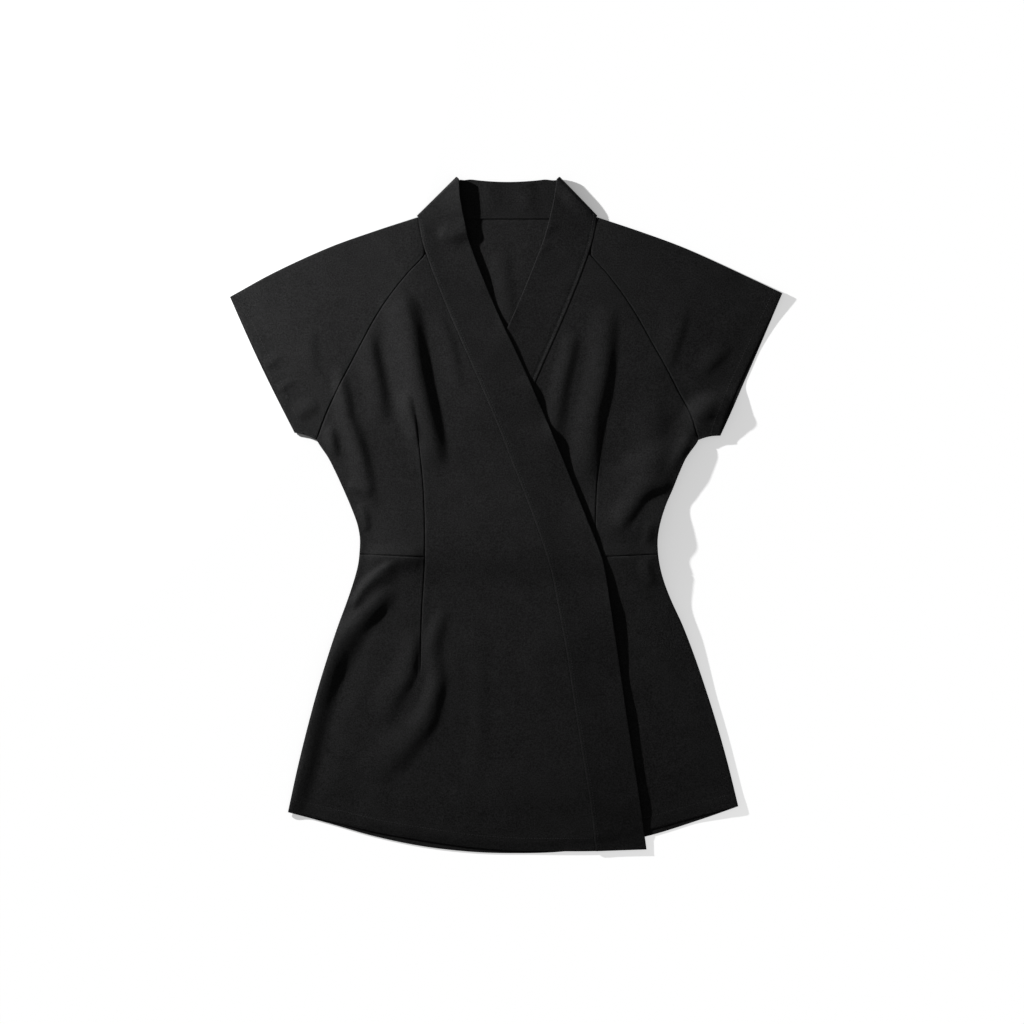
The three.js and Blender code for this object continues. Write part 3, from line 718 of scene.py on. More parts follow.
def inside_edge(side, x, y):
    """How far inside the side edge a point lies."""
    return x - edge_right(y) if side == "right" else edge_left(y) - x


def back_height(x, y):
    """Middle height of the back layer: flat inside, curling up toward both side edges."""
    height = REST + folds("back", x, y) + ridge(SIDE_ROLL, x, y)
    for side, (lift, reach) in curls.items():
        height = height + np.maximum(lift(y), 0) * ease(1 - inside_edge(side, x, y) / reach(y))
    return height


def own_front_height(side, x, y):
    """Middle height of one front layer where nothing lies under it but the back."""
    inside = inside_edge(side, x, y)
    above_hem = y - hem_line[side](x)
    least = SLEEVE_LOFT * ease((y - UNDERARM_Y) / SLEEVE_LOFT_REACH)
    if side == "right":
        roll_start = ROLL_START * ease((ROLL_START_Y - y) / ROLL_START_FADE)
        rise = ease((inside - roll_start) / OPENING_REACH)
        full = mix(UPPER_LOFT, NECK_LOFT, within(NECK_AREA, x, y))
    else:
        rise = ease(inside / OPENING_REACH)
        full = UNDER_LOFT + SHOULDER_LOFT * within(SHOULDER_AREA, x, y)
    rise = rise * mix(HEM_LOFT_SHARE, 1, ease(above_hem / HEM_LOFT_REACH))
    away = np.abs(y - WAIST_Y) / np.where(y > WAIST_Y, WAIST_REACH_UP, WAIST_REACH_DOWN)
    waist = WAIST_SHARE[side] * WAIST_RIDGE * hump(away) * ease(inside / WAIST_REACH_IN)
    in_sleeve = inside + SLEEVE_OUTREACH * ease((y - UNDERARM_Y) / SLEEVE_OUTREACH_FADE)
    waves = ripples(x, y) * ease(in_sleeve / RIPPLE_REACH)
    calm = ease(above_hem / HEM_CALM_REACH)
    own = (folds(side, x, y) + folds(side + "_sleeve", x, y) + waves) * calm * ease(in_sleeve / FOLD_REACH)
    return back_height(x, y) + mix(HEM_SEAT, SEAT, calm) + mix(least, full, rise) + waist + own


def front_height(side, x, y):
    """Middle height of a front layer: the right front lies over the left one."""
    own = own_front_height(side, x, y)
    if side == "left":
        return own
    lies_on = ease((y - hem_line["left"](x) + LIES_ON_OUT) / LIES_ON_FADE)
    under = own_front_height("left", x, y) + (LAYER_CLEARANCE + BAND_PROUD + BAND_CLOTH / 2) * lies_on
    above_edge = ease((x - band_edge_x("left", y) + UNDER_EDGE_OUT) / UNDER_EDGE_FADE)
    return own + above_edge * LAYER_SOFTNESS * np.logaddexp(0, (under - own) / LAYER_SOFTNESS)


def band_seam_x(side, y):
    """Where the band's seam runs on one front."""
    return band_seam(y) if side == "right" else UNDER_SEAM_MIRROR - band_seam(y)


def band_edge_x(side, y):
    """Where the band's free edge runs on one front."""
    return band_edge(y) if side == "right" else UNDER_EDGE_MIRROR - band_edge(y)


def dart_x(side, y):
    """Where the dart runs on one front."""
    return dart_line(y) if side == "right" else UNDER_DART_MIRROR - dart_line(y)


def panel_edge_x(side, y):
    """Outer boundary of a panel: the side seam, then the raglan seam."""
    edge = edge_right(y) if side == "right" else edge_left(y)
    seam = RAGLAN[side](y) - INWARD[side] * SEAM_LAP / 2
    return np.where(y <= UNDERARM_Y, edge, seam)


def row_y(level, hem_y):
    """Height along a row of a panel whose lower rows follow its hem."""
    pull = np.clip((STRAIGHT_ROW_Y - level) / (STRAIGHT_ROW_Y - HEM_CORNER_Y), 0, 1)
    return level + pull * (hem_y - HEM_CORNER_Y)


def spread(length, step):
    """Places from 0 to length, close together at both ends."""
    start = np.array(RIM_STEPS)
    end = length - start[::-1]
    count = max(int((end[0] - start[-1]) / step), 1)
    return np.concatenate([start, np.linspace(start[-1], end[0], count + 1)[1:-1], end])


def levels_between(low, high, step, fine_at=()):
    """Row levels from low to high, close together at the ends and at the levels of cross seams."""
    levels = low + spread(high - low, step)
    for middle in fine_at:
        levels = levels[np.abs(levels - middle) > CROSS_SEAM_REACH]
        close = middle + np.linspace(-CROSS_SEAM_REACH, CROSS_SEAM_REACH, CROSS_SEAM_ROWS)
        levels = np.concatenate([levels, close])
    return np.unique(levels)


def groove(distance, depth, width):
    """A rounded ditch across a distance, or a welt where it is taken away."""
    return -depth * np.exp(-(distance / width) ** 2)


def swell(side, distance):
    """The seam allowance inside the band lifts it beside its seam, and thins out further in."""
    return SEAM_SWELL[side] * ease(distance / SEAM_SWELL_RISE) * np.exp(-distance / SEAM_SWELL_FALL)


def droop(distance):
    """The upper layer sinks onto the lower one along an open edge."""
    return -EDGE_DROOP * (1 - ease(distance / EDGE_DROOP_REACH))


def turned_hem(distance, depth):
    """The doubled cloth of a hem or cuff steps up within its depth from the edge."""
    return HEM_STEP * ease((depth - distance) / HEM_STEP_FADE)


def normals_of(grid):
    """Unit normals of a grid of points, pointing up where rows climb and columns run to the right."""
    along = np.gradient(grid, axis=0)
    across = np.gradient(grid, axis=1)
    normal = np.cross(across, along)
    return normal / np.maximum(np.linalg.norm(normal, axis=2, keepdims=True), 1e-12)


def rim_share(grid, radius):
    """Share of the full thickness at each point, round toward the four sides of the grid."""
    share = np.ones(grid.shape[:2])
    for axis in (0, 1):
        steps = np.linalg.norm(np.diff(grid, axis=axis), axis=2)
        first = np.zeros_like(steps.take([0], axis=axis))
        start = np.concatenate([first, np.cumsum(steps, axis=axis)], axis=axis)
        end = start.take([-1], axis=axis) - start
        for distance in (start, end):
            inner = np.clip(1 - distance / radius, 0, 1)
            share = np.minimum(share, np.sqrt(1 - inner**2))
    return share


def shell(name, grid, wall, material):
    """Closed thin wall of cloth around a grid of middle points, with a rounded rim."""
    rows, columns = grid.shape[:2]
    offset = normals_of(grid) * (rim_share(grid, wall / 2) * wall / 2)[:, :, None]
    top = (grid + offset).reshape(-1, 3)
    bottom = (grid - offset)[1:-1, 1:-1].reshape(-1, 3)
    upper = np.arange(rows * columns).reshape(rows, columns)
    lower = upper.copy()
    lower[1:-1, 1:-1] = rows * columns + np.arange((rows - 2) * (columns - 2)).reshape(rows - 2, columns - 2)

    def quads(index, order):
        corners = (index[:-1, :-1], index[:-1, 1:], index[1:, 1:], index[1:, :-1])
        return np.stack([corners[n].ravel() for n in order], axis=1)

    faces = np.concatenate([quads(upper, (0, 1, 2, 3)), quads(lower, (3, 2, 1, 0))])
    return mesh_piece(name, np.concatenate([top, bottom]), faces, material)


def mesh_piece(name, points, faces, material):
    """A smooth mesh object from arrays, riding on the garment's one body."""
    mesh = bpy.data.meshes.new(name)
    mesh.from_pydata(points.tolist(), [], faces.tolist())
    mesh.materials.append(material)
    mesh.polygons.foreach_set("use_smooth", np.ones(len(mesh.polygons), dtype=bool))
    mesh.update()
    piece = bpy.data.objects.new(name, mesh)
    bpy.context.scene.collection.objects.link(piece)
    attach(piece, "root")
    return piece


def front_grid(side):
    """Middle points of one front panel, with its dart, slash, hem and seam ditches."""
    inward = INWARD[side]
    hem = hem_line[side]
    corner_x = float(panel_edge_x(side, HEM_CORNER_Y))
    seam_hem_x = float(band_seam_x(side, hem(band_seam_x(side, HEM_CORNER_Y))))
    slash_level = (SLASH_Y["side"] + SLASH_Y["dart"]) / 2
    level = levels_between(HEM_CORNER_Y, RAGLAN_TOP_Y, STEP, (slash_level,))[:, None]

    outer = panel_edge_x(side, row_y(level, hem(corner_x)))
    inner = band_seam_x(side, row_y(level, hem(seam_hem_x))) + inward * SEAM_LAP / 2
    low, high = DART_ROWS[0, 0], DART_ROWS[-1, 0]
    dart_share = (dart_x(side, level) - outer) / (inner - outer)
    foot_share = float(np.interp(low, level[:, 0], dart_share[:, 0]))
    top_share = float(np.interp(high, level[:, 0], dart_share[:, 0]))
    above = ease((level - high) / (RAGLAN_TOP_Y - high))
    dart_share = np.where(level > high, mix(top_share, DART_SHARE_AT_RAGLAN, above), dart_share)
    dart_share = np.where(level < low, foot_share, dart_share)

    to_dart = spread(DART_SPREAD, STEP)
    to_seam = spread(SEAM_SPREAD, STEP)
    to_dart = to_dart[None, :] / to_dart[-1]
    to_seam = to_seam[None, 1:] / to_seam[-1]
    share = np.concatenate([to_dart * dart_share, dart_share + to_seam * (1 - dart_share)], axis=1)
    x = mix(outer, inner, share)
    hem_x = mix(corner_x, seam_hem_x, share)
    y = row_y(level, hem(hem_x))
    z = front_height(side, x, y)

    in_dart = ease((y - low + DART_FOOT_OUT) / DART_FOOT_FADE)
    in_dart = in_dart * ease((high + DART_TOP_OUT - y) / DART_TOP_FADE)
    from_dart = (x - dart_x(side, y)) * inward
    z += in_dart * groove(from_dart, DART_DITCH, DART_DITCH_WIDTH)
    z -= in_dart * groove(from_dart - DART_WELT_OUT, DART_WELT, DART_WELT_WIDTH)
    slash = mix(SLASH_Y["side"], SLASH_Y["dart"], np.clip((x - outer) / (dart_x(side, y) - outer), 0, 1))
    in_slash = ease(-from_dart / SLASH_FADE)
    z += in_slash * groove(y - slash, DART_DITCH, DART_DITCH_WIDTH)
    z -= in_slash * groove(y - slash + DART_WELT_OUT, DART_WELT, DART_WELT_WIDTH)
    at_raglan = ease((y - UNDERARM_Y) / RAGLAN_FADE)
    z += groove(inner - x, SEAM_DITCH, SEAM_DITCH_WIDTH)
    z += (1 - at_raglan) * droop(inside_edge(side, x, y)) + droop(y - hem(x))
    z += at_raglan * groove(x - outer, RAGLAN_DITCH, RAGLAN_DITCH_WIDTH)
    z += turned_hem(y - hem(x), HEM_DEPTH)
    return np.stack(np.broadcast_arrays(x, y, z), axis=2)


def back_grid():
    """Middle points of the back panel."""
    hem = hem_line["back"]
    right_x = float(panel_edge_x("right", HEM_CORNER_Y))
    left_x = float(HEM_ROWS["back"][-1, 0])
    level = levels_between(HEM_CORNER_Y, NECK_SEAM_Y + SEAM_LAP / 2, COARSE_STEP)[:, None]
    outer = panel_edge_x("right", row_y(level, hem(right_x)))
    inner = panel_edge_x("left", row_y(level, hem(left_x)))
    across = spread(BACK_WIDTH, COARSE_STEP)[None, :]
    share = across / across[0, -1]
    x = mix(outer, inner, share)
    y = row_y(level, hem(mix(right_x, left_x, share)))
    z = back_height(x, y) + turned_hem(y - hem(x), HEM_DEPTH) / 2
    return np.stack(np.broadcast_arrays(x, y, z), axis=2)


def polyline(points):
    """Reads a line of points by its share of length."""
    points = np.asarray(points, float)
    lengths = np.concatenate([[0], np.cumsum(np.linalg.norm(np.diff(points, axis=0), axis=1))])
    shares = lengths / lengths[-1]

    def at(share):
        return np.stack([np.interp(share, shares, points[:, n]) for n in (0, 1)], axis=-1)

    return at


def coons(start, end, low, high, s, t):
    """Patch between four boundary lines, at shares s along and t across."""
    s = s[:, None, None]
    t = t[None, :, None]
    corner = mix(mix(start(0.0), start(1.0), s), mix(end(0.0), end(1.0), s), t)
    along = mix(start(s[:, 0, 0])[:, None, :], end(s[:, 0, 0])[:, None, :], t)
    across = mix(low(t[0, :, 0])[None, :, :], high(t[0, :, 0])[None, :, :], s)
    return along + across - corner


def roll_rows(base, outward, radius, low, count):
    """Half roll of cloth over a fold, from its upper to its lower layer."""
    angles = np.radians(np.linspace(90, -90, count))[:, None]
    reach = radius * np.cos(angles)
    x = base[:, 0] + outward[..., 0] * reach
    y = base[:, 1] + outward[..., 1] * reach
    z = low + radius * (1 + np.sin(angles))
    return np.stack(np.broadcast_arrays(x, y, z), axis=2)


def sleeve_grid(side):
    """Middle points of one sleeve: front layer, roll over the shoulder and back layer."""
    sign = -INWARD[side]
    points = SHOULDER_POINTS[side]
    knots = np.linspace(0, 1, len(points))
    line_x, line_y = curve(knots, points[:, 0]), curve(knots, points[:, 1])

    def fold(t):
        t = np.asarray(t, float)
        ahead, behind = np.clip(t + TANGENT_STEP, 0, 1), np.clip(t - TANGENT_STEP, 0, 1)
        x, y = line_x(t), line_y(t)
        along = np.stack([line_x(ahead) - line_x(behind), line_y(ahead) - line_y(behind)], axis=-1)
        along /= np.linalg.norm(along, axis=-1, keepdims=True)
        outward = np.stack([-sign * along[..., 1], sign * along[..., 0]], axis=-1)
        radius = (front_height(side, x, y) - back_height(x, y)) / 2
        base = np.stack([x, y], axis=-1) - outward * (radius + CLOTH / 2)[..., None]
        return base, outward

    lap = -sign * SEAM_LAP / 2
    seam_y = np.linspace(UNDERARM_Y, RAGLAN_TOP_Y, SEAM_POINTS)
    raglan = np.stack([RAGLAN[side](seam_y) + lap, seam_y], axis=1)
    neck_front = COLLAR_ROWS[side][:-1, :2] + (lap, 0)
    neck_levels = np.linspace(RAGLAN_TOP_Y + NECK_POINTS_START, NECK_SEAM_Y, NECK_POINTS)
    raglan_back = np.stack([RAGLAN[side](neck_levels) + lap, neck_levels], axis=1)
    corner = np.array(CUFF_CORNER[side])
    start = fold(np.zeros(1))[0]

    def layer(seam_points, height, short):
        seam = polyline(np.concatenate([raglan, seam_points, start]))
        tip = fold(np.ones(1))[0][0]

        def cuff(s):
            s = np.asarray(s, float)[..., None]
            bow = CUFF_BOW[side] * np.sin(np.pi * s) - short * np.sin(np.pi * s ** CUFF_SHORT_LEAN[side])
            return mix(corner, tip, s) + np.concatenate([sign * bow, 0 * bow], axis=-1)

        def underarm(t):
            t = np.asarray(t, float)[..., None]
            sag = UNDERARM_SAG * np.sin(np.pi * t)
            return mix(raglan[0], corner, t) + np.concatenate([0 * sag, sag], axis=-1)

        s = spread(SLEEVE_LENGTH, STEP) / SLEEVE_LENGTH
        t = spread(SLEEVE_WIDTH, STEP) / SLEEVE_WIDTH
        plane = coons(seam, cuff, underarm, lambda v: fold(v)[0], s, t)
        return np.dstack([plane, height(plane[:, :, 0], plane[:, :, 1])]), t

    front, t = layer(neck_front, lambda x, y: front_height(side, x, y), CUFF_SHORT[side])
    back, _ = layer(raglan_back, back_height, 0)
    from_seam = np.linalg.norm(front - front[:, :1], axis=2)
    from_cuff = np.linalg.norm(front - front[:, -1:], axis=2)
    at_band = ease((front[:, :1, 1] - RAGLAN_TOP_Y) / AT_BAND_FADE)
    front[:, :, 2] += groove(from_seam, mix(RAGLAN_DITCH, SEAM_DITCH, at_band), RAGLAN_DITCH_WIDTH)
    front[:, :, 2] += turned_hem(from_cuff, CUFF_DEPTH) + droop(from_cuff)
    base, outward = fold(t)
    low = back_height(base[:, 0], base[:, 1])
    radius = (front[-1, :, 2] - low) / 2
    roll = roll_rows(base, outward, radius, low, SLEEVE_ROLL_POINTS)
    drop = len(RIM_STEPS) - 1
    return np.concatenate([front[:-drop], roll, back[:-drop][::-1]])


def band_height(side, x, y, share, stand):
    """Height of the band on one front, with its free edge standing up."""
    sink = UNDER_BAND_SINK * ease((y - UNDER_SINK_Y) / UNDER_SINK_FADE) if side == "left" else 0
    stand = stand * share**BAND_STAND_POWER
    return front_height(side, x, y) + BAND_PROUD - sink + stand + folds("collar", x, y)


def band_front_rows(side, across, last):
    """The band along one front, from hem to neck fold; last is the row of points that it must meet."""
    hem = hem_line[side]
    seam_hem = float(hem(band_seam_x(side, HEM_CORNER_Y)))
    edge_hem = float(hem(band_edge_x(side, HEM_CORNER_Y)))
    level = levels_between(HEM_CORNER_Y, RAGLAN_TOP_Y, STEP if side == "right" else COARSE_STEP)
    level = level[: -(len(RIM_STEPS) - 1)]
    seam_y = row_y(level, seam_hem)
    edge_y = row_y(level, edge_hem)
    stand = edge_stand(edge_y) if side == "right" else 0 * edge_y
    columns = [band_seam_x(side, seam_y), seam_y, band_edge_x(side, edge_y), edge_y, stand]
    straight = np.stack(columns, axis=1)

    end = np.array([[*last[0, :2], *last[-1, :2], NECK_FOLD[side]["stand"]]])
    tail = np.concatenate([straight[-TAIL_ROWS::TAIL_STEP], COLLAR_ROWS[side], end])
    middle = (tail[:, 0:2] + tail[:, 2:4]) / 2
    knots = np.concatenate([[0], np.cumsum(np.linalg.norm(np.diff(middle, axis=0), axis=1))])
    first_knot = knots[len(tail) - len(COLLAR_ROWS[side]) - 2]
    places = np.arange(first_knot, knots[-1], STEP)[1:]
    places = np.append(places[places < knots[-1] - STEP / 2], knots[-1])
    collar = np.stack([curve(knots, tail[:, n])(places) for n in range(tail.shape[1])], axis=1)
    rows = np.concatenate([straight[:-JOIN_ROWS], collar])

    seam_x = rows[:, 0:1] - INWARD[side] * SEAM_LAP / 2
    share = across[None, :]
    x = mix(seam_x, rows[:, 2:3], share)
    y = mix(rows[:, 1:2], rows[:, 3:4], share)
    z = band_height(side, x, y, share, rows[:, 4:5])
    in_from_seam = np.hypot(x - x[:, :1], y - y[:, :1])
    z += swell(side, in_from_seam)
    z += groove(in_from_seam - EDGE_STITCH_IN, STITCH_GROOVE[side], STITCH_GROOVE_WIDTH)
    z += turned_hem(y - hem(x), HEM_DEPTH)
    grid = np.stack([x, y, z], axis=2)
    meet = ease(np.arange(1, MEET_ROWS + 1) / MEET_ROWS)[:, None, None]
    grid[-MEET_ROWS:] += (last - grid[-1]) * meet
    return grid[:-1]


def neck_roll(side, across):
    """The roll of the band over the neck fold, from upper to lower layer."""
    corner = np.array(NECK_FOLD[side]["corner"])
    apex = np.array(NECK_FOLD[side]["apex"])
    along = (apex - corner) / np.linalg.norm(apex - corner)
    outward = INWARD[side] * np.array([-along[1], along[0]])
    outline = mix(corner, apex, across[:, None])
    high = band_height(side, outline[:, 0], outline[:, 1], across, NECK_FOLD[side]["stand"])
    radius = (high - BAND_REST) / 2
    base = outline - outward * (radius + BAND_CLOTH / 2)[:, None]
    outward = np.broadcast_to(outward, base.shape)
    return roll_rows(base, outward, radius, BAND_REST, NECK_ROLL_POINTS)


def collar_back_rows(across, right_end, left_end):
    """The back of the collar between the rolls' lower ends, from right to left."""
    right, left = NECK_FOLD["right"], NECK_FOLD["left"]
    place = np.linspace(0, 1, COLLAR_ROW_COUNT)[:, None]
    seam_x = mix(right["corner"][0], left["corner"][0], place)
    edge_x = mix(right["apex"][0], left["apex"][0], place)
    edge_y = COLLAR_DIP_Y + (right["apex"][1] - COLLAR_DIP_Y) * (2 * place - 1) ** 2
    share = across[None, :]
    x = mix(seam_x, edge_x, share)
    y = mix(NECK_SEAM_Y - SEAM_LAP / 2, edge_y, share)
    flat = np.stack(np.broadcast_arrays(x, y, BAND_REST + 0 * x), axis=2)
    for end, row, weight in ((right_end, 0, 1 - place), (left_end, -1, place)):
        near = ease((weight - 1 + COLLAR_MEET_SHARE) / COLLAR_MEET_SHARE)[:, :, None]
        flat = flat + (end - flat[row]) * near
    flat[:, :, 2] += folds("collar_back", flat[:, :, 0], flat[:, :, 1]) * between_ends(place)
    return flat[1:-1]


def band_grid():
    """Middle points of the whole band: up the left front, round the neck and down the right front."""
    across = spread(BAND_WIDTH, BAND_STEP) / BAND_WIDTH
    rolls = {side: neck_roll(side, across) for side in ("right", "left")}
    fronts = {side: band_front_rows(side, across, rolls[side][0]) for side in ("right", "left")}
    back = collar_back_rows(across, rolls["right"][-1], rolls["left"][-1])
    return np.concatenate([
        fronts["left"], rolls["left"], back[::-1], rolls["right"][::-1], fronts["right"][::-1],
    ])


# How a grid is turned so that the rim to be sewn is its first column
TURNED = {
    "first column": lambda grid: grid,
    "last column": lambda grid: grid[:, ::-1],
    "first row": lambda grid: grid.transpose(1, 0, 2),
}


def line_inside(grid, rim, distance, wall):
    """Points on the face of a cloth at one distance in from a rim, with their normals."""
    upward = normals_of(grid)
    upward = upward * np.sign(upward[1, grid.shape[1] // 2, 2])
    grid, upward = TURNED[rim](grid), TURNED[rim](upward)
    steps = np.linalg.norm(np.diff(grid, axis=1), axis=2)
    reach = np.concatenate([np.zeros((len(grid), 1)), np.cumsum(steps, axis=1)], axis=1)
    line = np.empty((len(grid), 6))
    for row in range(len(grid)):
        face = grid[row] + upward[row] * wall / 2
        values = np.concatenate([face, upward[row]], axis=1)
        line[row] = [np.interp(distance, reach[row], values[:, n]) for n in range(6)]
    return line[:, :3], line[:, 3:]


def stitch_row(line, upward):
    """Vertices and faces of a row of short sunk stitches along a line."""
    reach = np.concatenate([[0], np.cumsum(np.linalg.norm(np.diff(line, axis=0), axis=1))])
    places = np.arange(STITCH_PITCH, reach[-1] - STITCH_PITCH, STITCH_PITCH)

    def read(values, at):
        return np.stack([np.interp(at, reach, values[:, n]) for n in range(3)], axis=1)

    middle = read(line, places)
    along = read(line, places + STITCH_PITCH / 4) - read(line, places - STITCH_PITCH / 4)
    along /= np.linalg.norm(along, axis=1, keepdims=True)
    up = read(upward, places)
    aside = np.cross(along, up)
    aside /= np.linalg.norm(aside, axis=1, keepdims=True)
    rings = []
    for place, width in STITCH_RINGS:
        centre = middle + along * place * STITCH_LENGTH / 2 - up * (STITCH_SINK + STITCH_BOW * place**2)
        for side in range(STITCH_SIDES):
            angle = 2 * math.pi * side / STITCH_SIDES
            spoke = math.cos(angle) * aside + math.sin(angle) * up
            rings.append(centre + spoke * width * STITCH_RADIUS)
    points = np.stack(rings, axis=1)
    points[:, :, 2] = np.maximum(points[:, :, 2], THREAD_REST)
    index = np.arange(len(STITCH_RINGS) * STITCH_SIDES).reshape(-1, STITCH_SIDES)
    turned = np.roll(index, -1, axis=1)
    one = np.stack([index[:-1], turned[:-1], turned[1:], index[1:]], axis=2).reshape(-1, 4)
    first = np.arange(len(points))[:, None, None] * points.shape[1]
    return points.reshape(-1, 3), (one[None] + first).reshape(-1, 4)


def node(tree, kind, **inputs):
    """A shader node with its inputs set by name: a value, or a socket to link from."""
    made = tree.nodes.new(kind)
    for name, value in inputs.items():
        socket = made.inputs[name.replace("_", " ")]
        if isinstance(value, bpy.types.NodeSocket):
            tree.links.new(value, socket)
        else:
            socket.default_value = value
    return made


def math_node(tree, operation, *inputs, kind="Math"):
    """A math node with its inputs set in order: a value, or a socket to link from."""
    made = tree.nodes.new("ShaderNode" + kind)
    made.operation = operation
    for socket, value in zip(made.inputs, inputs):
        if isinstance(value, bpy.types.NodeSocket):
            tree.links.new(value, socket)
        else:
            socket.default_value = value
    return made


def cloth_material(name, colour, roughness, grain):
    """Black crepe: a fine uneven weave with a soft sheen."""
    material = bpy.data.materials.new(name)
    material.use_nodes = True
    tree = material.node_tree
    shader = tree.nodes["Principled BSDF"]
    place = tree.nodes.new("ShaderNodeTexCoord").outputs["Object"]

    mottle = node(tree, "ShaderNodeTexNoise", Vector=place, Scale=46.0, Detail=4.0, Roughness=0.6)
    specks = node(tree, "ShaderNodeTexNoise", Vector=place, Scale=620.0, Detail=2.0, Roughness=0.6)
    tone = math_node(tree, "MULTIPLY_ADD", mottle.outputs["Fac"], 0.24, specks.outputs["Fac"])
    ramp = tree.nodes.new("ShaderNodeValToRGB")
    stops = ((0.40, DARK_SPECK), (0.85, LIGHT_SPECK))
    for stop, (position, share) in zip(ramp.color_ramp.elements, stops):
        stop.position = position
        stop.color = (*(share * c for c in colour), 1)
    tree.links.new(tone.outputs[0], ramp.inputs["Fac"])
    tree.links.new(ramp.outputs["Color"], shader.inputs["Base Color"])

    threads = []
    for direction in ("X", "Y"):
        wave = node(tree, "ShaderNodeTexWave", Vector=place, Scale=620.0, Distortion=1.6, Detail=2.0)
        wave.inputs["Detail Scale"].default_value = 2.0
        wave.bands_direction = direction
        threads.append(wave.outputs["Fac"])
    weave = math_node(tree, "MULTIPLY", *threads)
    crepe = math_node(tree, "MULTIPLY_ADD", weave.outputs[0], 0.5, specks.outputs["Fac"])
    bump = node(tree, "ShaderNodeBump", Height=crepe.outputs[0], Strength=grain, Distance=0.0009)
    tree.links.new(bump.outputs["Normal"], shader.inputs["Normal"])

    shader.inputs["Roughness"].default_value = roughness
    shader.inputs["Specular IOR Level"].default_value = 0.10
    shader.inputs["Sheen Weight"].default_value = 0.02
    shader.inputs["Sheen Roughness"].default_value = 0.45
    return material


def thread_material(name, colour, roughness):
    """Polyester sewing thread, twisted along each stitch."""
    material = bpy.data.materials.new(name)
    material.use_nodes = True
    tree = material.node_tree
    shader = tree.nodes["Principled BSDF"]
    place = tree.nodes.new("ShaderNodeTexCoord").outputs["Object"]
    twist = node(tree, "ShaderNodeTexWave", Vector=place, Scale=900.0, Distortion=1.0, Detail=1.0)
    twist.bands_direction = "DIAGONAL"
    bump = node(tree, "ShaderNodeBump", Height=twist.outputs["Fac"], Strength=0.4, Distance=0.0002)
    tree.links.new(bump.outputs["Normal"], shader.inputs["Normal"])
    shader.inputs["Base Color"].default_value = (*colour, 1)
    shader.inputs["Roughness"].default_value = roughness
    shader.inputs["Specular IOR Level"].default_value = 0.3
    return material


def make_camera():
    """The camera of the photograph's view, straight above the garment."""
    data = bpy.data.cameras.new("camera")
    data.lens = LENS_MM
    data.sensor_width = SENSOR_MM
    data.clip_end = 50
    camera = bpy.data.objects.new("camera", data)
    camera.location = (*VIEW_CENTRE, FIELD * LENS_MM / SENSOR_MM)
    bpy.context.scene.collection.objects.link(camera)
    bpy.context.scene.camera = camera


def even_out(tree, shader, lamp):
    """Makes the floor glow by as much as the key's light on it falls short of even white."""
    place = tree.nodes.new("ShaderNodeNewGeometry").outputs["Position"]
    ray = math_node(tree, "SUBTRACT", place, lamp, kind="VectorMath").outputs["Vector"]
    away = math_node(tree, "LENGTH", ray, kind="VectorMath")
    ahead = math_node(tree, "DOT_PRODUCT", ray, -lamp.normalized(), kind="VectorMath")
    falloff = math_node(tree, "POWER", away.outputs["Value"], -4)
    facing = math_node(tree, "MAXIMUM", ahead.outputs["Value"], 0)
    share = math_node(tree, "MULTIPLY", facing.outputs[0], falloff.outputs[0])
    lit = -FLOOR_WHITE * KEY_POWER * lamp[2] / math.pi**2
    glow = math_node(tree, "MULTIPLY_ADD", share.outputs[0], lit, FLOOR_EVEN - FLOOR_WHITE * FILL_STRENGTH)
    glow.use_clamp = True
    tree.links.new(glow.outputs[0], shader.inputs["Emission Strength"])


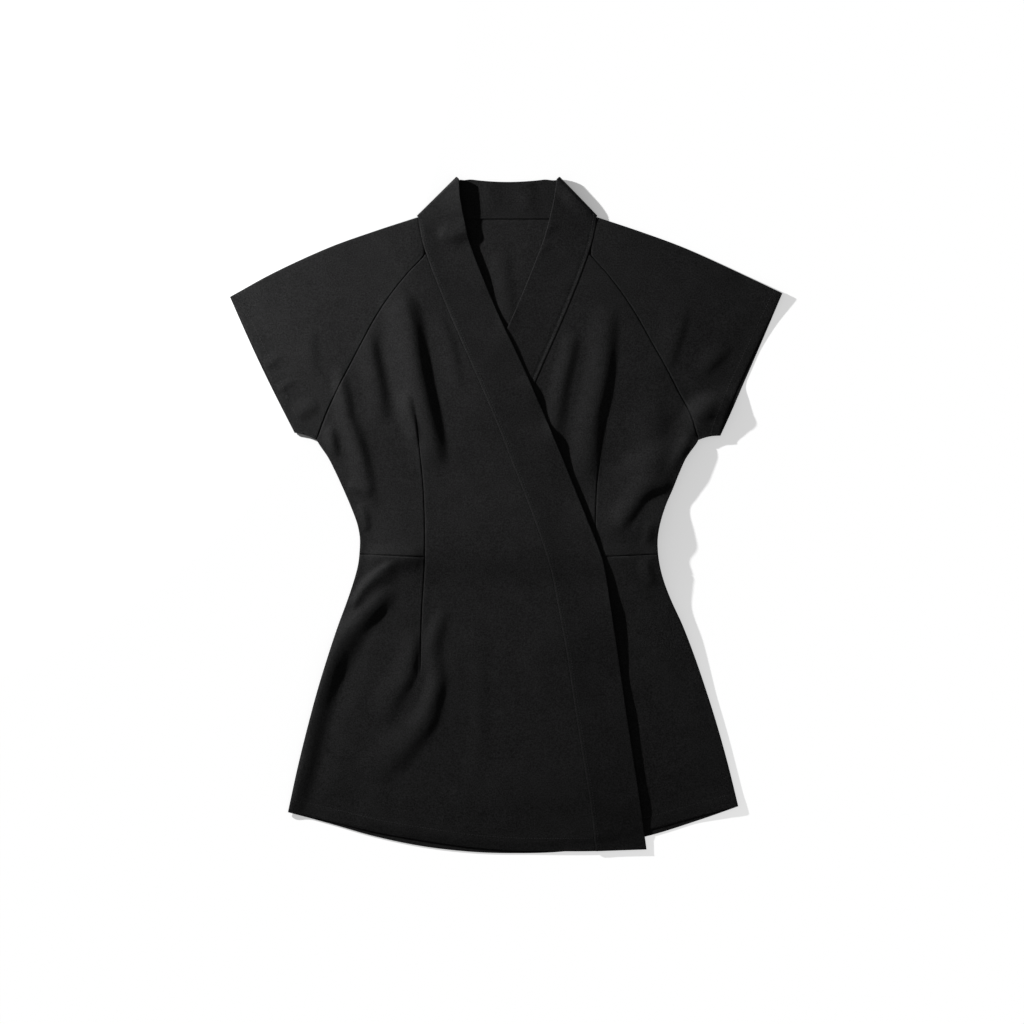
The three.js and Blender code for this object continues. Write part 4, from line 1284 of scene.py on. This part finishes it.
def make_stage():
    """Pale floor, key light and fill."""
    mesh = bpy.data.meshes.new("floor")
    half = FLOOR_SIZE / 2
    corners = [(-half, -half, 0), (half, -half, 0), (half, half, 0), (-half, half, 0)]
    mesh.from_pydata(corners, [], [(0, 1, 2, 3)])
    floor = bpy.data.objects.new("floor", mesh)
    bpy.context.scene.collection.objects.link(floor)
    material = bpy.data.materials.new("floor")
    material.use_nodes = True
    shader = material.node_tree.nodes["Principled BSDF"]
    shader.inputs["Base Color"].default_value = (FLOOR_WHITE, FLOOR_WHITE, FLOOR_WHITE, 1)
    shader.inputs["Roughness"].default_value = 0.9
    shader.inputs["Specular IOR Level"].default_value = 0.0
    shader.inputs["Emission Color"].default_value = (1, 1, 1, 1)
    mesh.materials.append(material)

    key = bpy.data.objects.new("key", bpy.data.lights.new("key", "AREA"))
    key.data.energy = KEY_POWER
    key.data.size = KEY_SIZE
    key.data.shape = "DISK"
    across, up = KEY_DIRECTION
    elevation = math.radians(KEY_ELEVATION)
    reach = KEY_DISTANCE * math.cos(elevation)
    key.location = (-across * reach, -up * reach, KEY_DISTANCE * math.sin(elevation))
    even_out(material.node_tree, shader, key.location)
    key.rotation_euler = (0, elevation - math.pi / 2, math.atan2(up, across))
    bpy.context.scene.collection.objects.link(key)

    world = bpy.data.worlds.new("fill")
    world.use_nodes = True
    background = world.node_tree.nodes["Background"]
    background.inputs["Color"].default_value = (1, 1, 1, 1)
    background.inputs["Strength"].default_value = FILL_STRENGTH
    bpy.context.scene.world = world
    bpy.context.scene.view_settings.view_transform = "Standard"


make_camera()
make_stage()
panel_cloth = cloth_material("black_crepe", PANEL_COLOUR, 0.62, 0.5)
band_cloth = cloth_material("black_crepe_pressed", BAND_COLOUR, 0.60, 0.4)
thread = thread_material("black_thread", THREAD_COLOUR, 0.5)

# The pieces: flat size, the share of it that the cut fills, how each is held, its support and sewn rim
Piece = namedtuple("Piece", "width length filled held rests_on sewn_rim")
PIECES = {
    "back": Piece(0.520, 0.745, 0.80, "laid", "floor", "first row"),
    "left_front": Piece(0.355, 0.700, 0.80, "laid", "back_cloth", "first row"),
    "right_front": Piece(0.355, 0.700, 0.80, "laid", "left_front_cloth", "first row"),
    "right_sleeve": Piece(0.330, 0.250, 0.66, "folded", "floor", "last column"),
    "left_sleeve": Piece(0.330, 0.250, 0.66, "folded", "floor", "last column"),
    "band": Piece(0.060, 1.720, 1.0, "folded", "left_front_cloth", "first column"),
}

# How far in from its rim the stitching runs: hems, cuffs, and the band beside its seam
STITCHED_IN = {
    "first row": HEM_DEPTH - HEM_STITCH_BACK,
    "last column": CUFF_DEPTH - HEM_STITCH_BACK,
    "first column": EDGE_STITCH_IN,
}

grids = {
    "back": back_grid(),
    "left_front": front_grid("left"),
    "right_front": front_grid("right"),
    "right_sleeve": sleeve_grid("right"),
    "left_sleeve": sleeve_grid("left"),
    "band": band_grid(),
}

for part, grid in grids.items():
    piece = PIECES[part]
    if part == "band":
        wall, material, slot = BAND_CLOTH, band_cloth, "band_cloth"
    else:
        wall, material, slot = CLOTH, panel_cloth, "body_cloth"
    cloth = shell(part + "_cloth", grid, wall, material)
    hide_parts(part)
    points, faces = stitch_row(*line_inside(grid, piece.sewn_rim, STITCHED_IN[piece.sewn_rim], wall))
    sewn = mesh_piece(part + "_stitches", points, faces, thread)
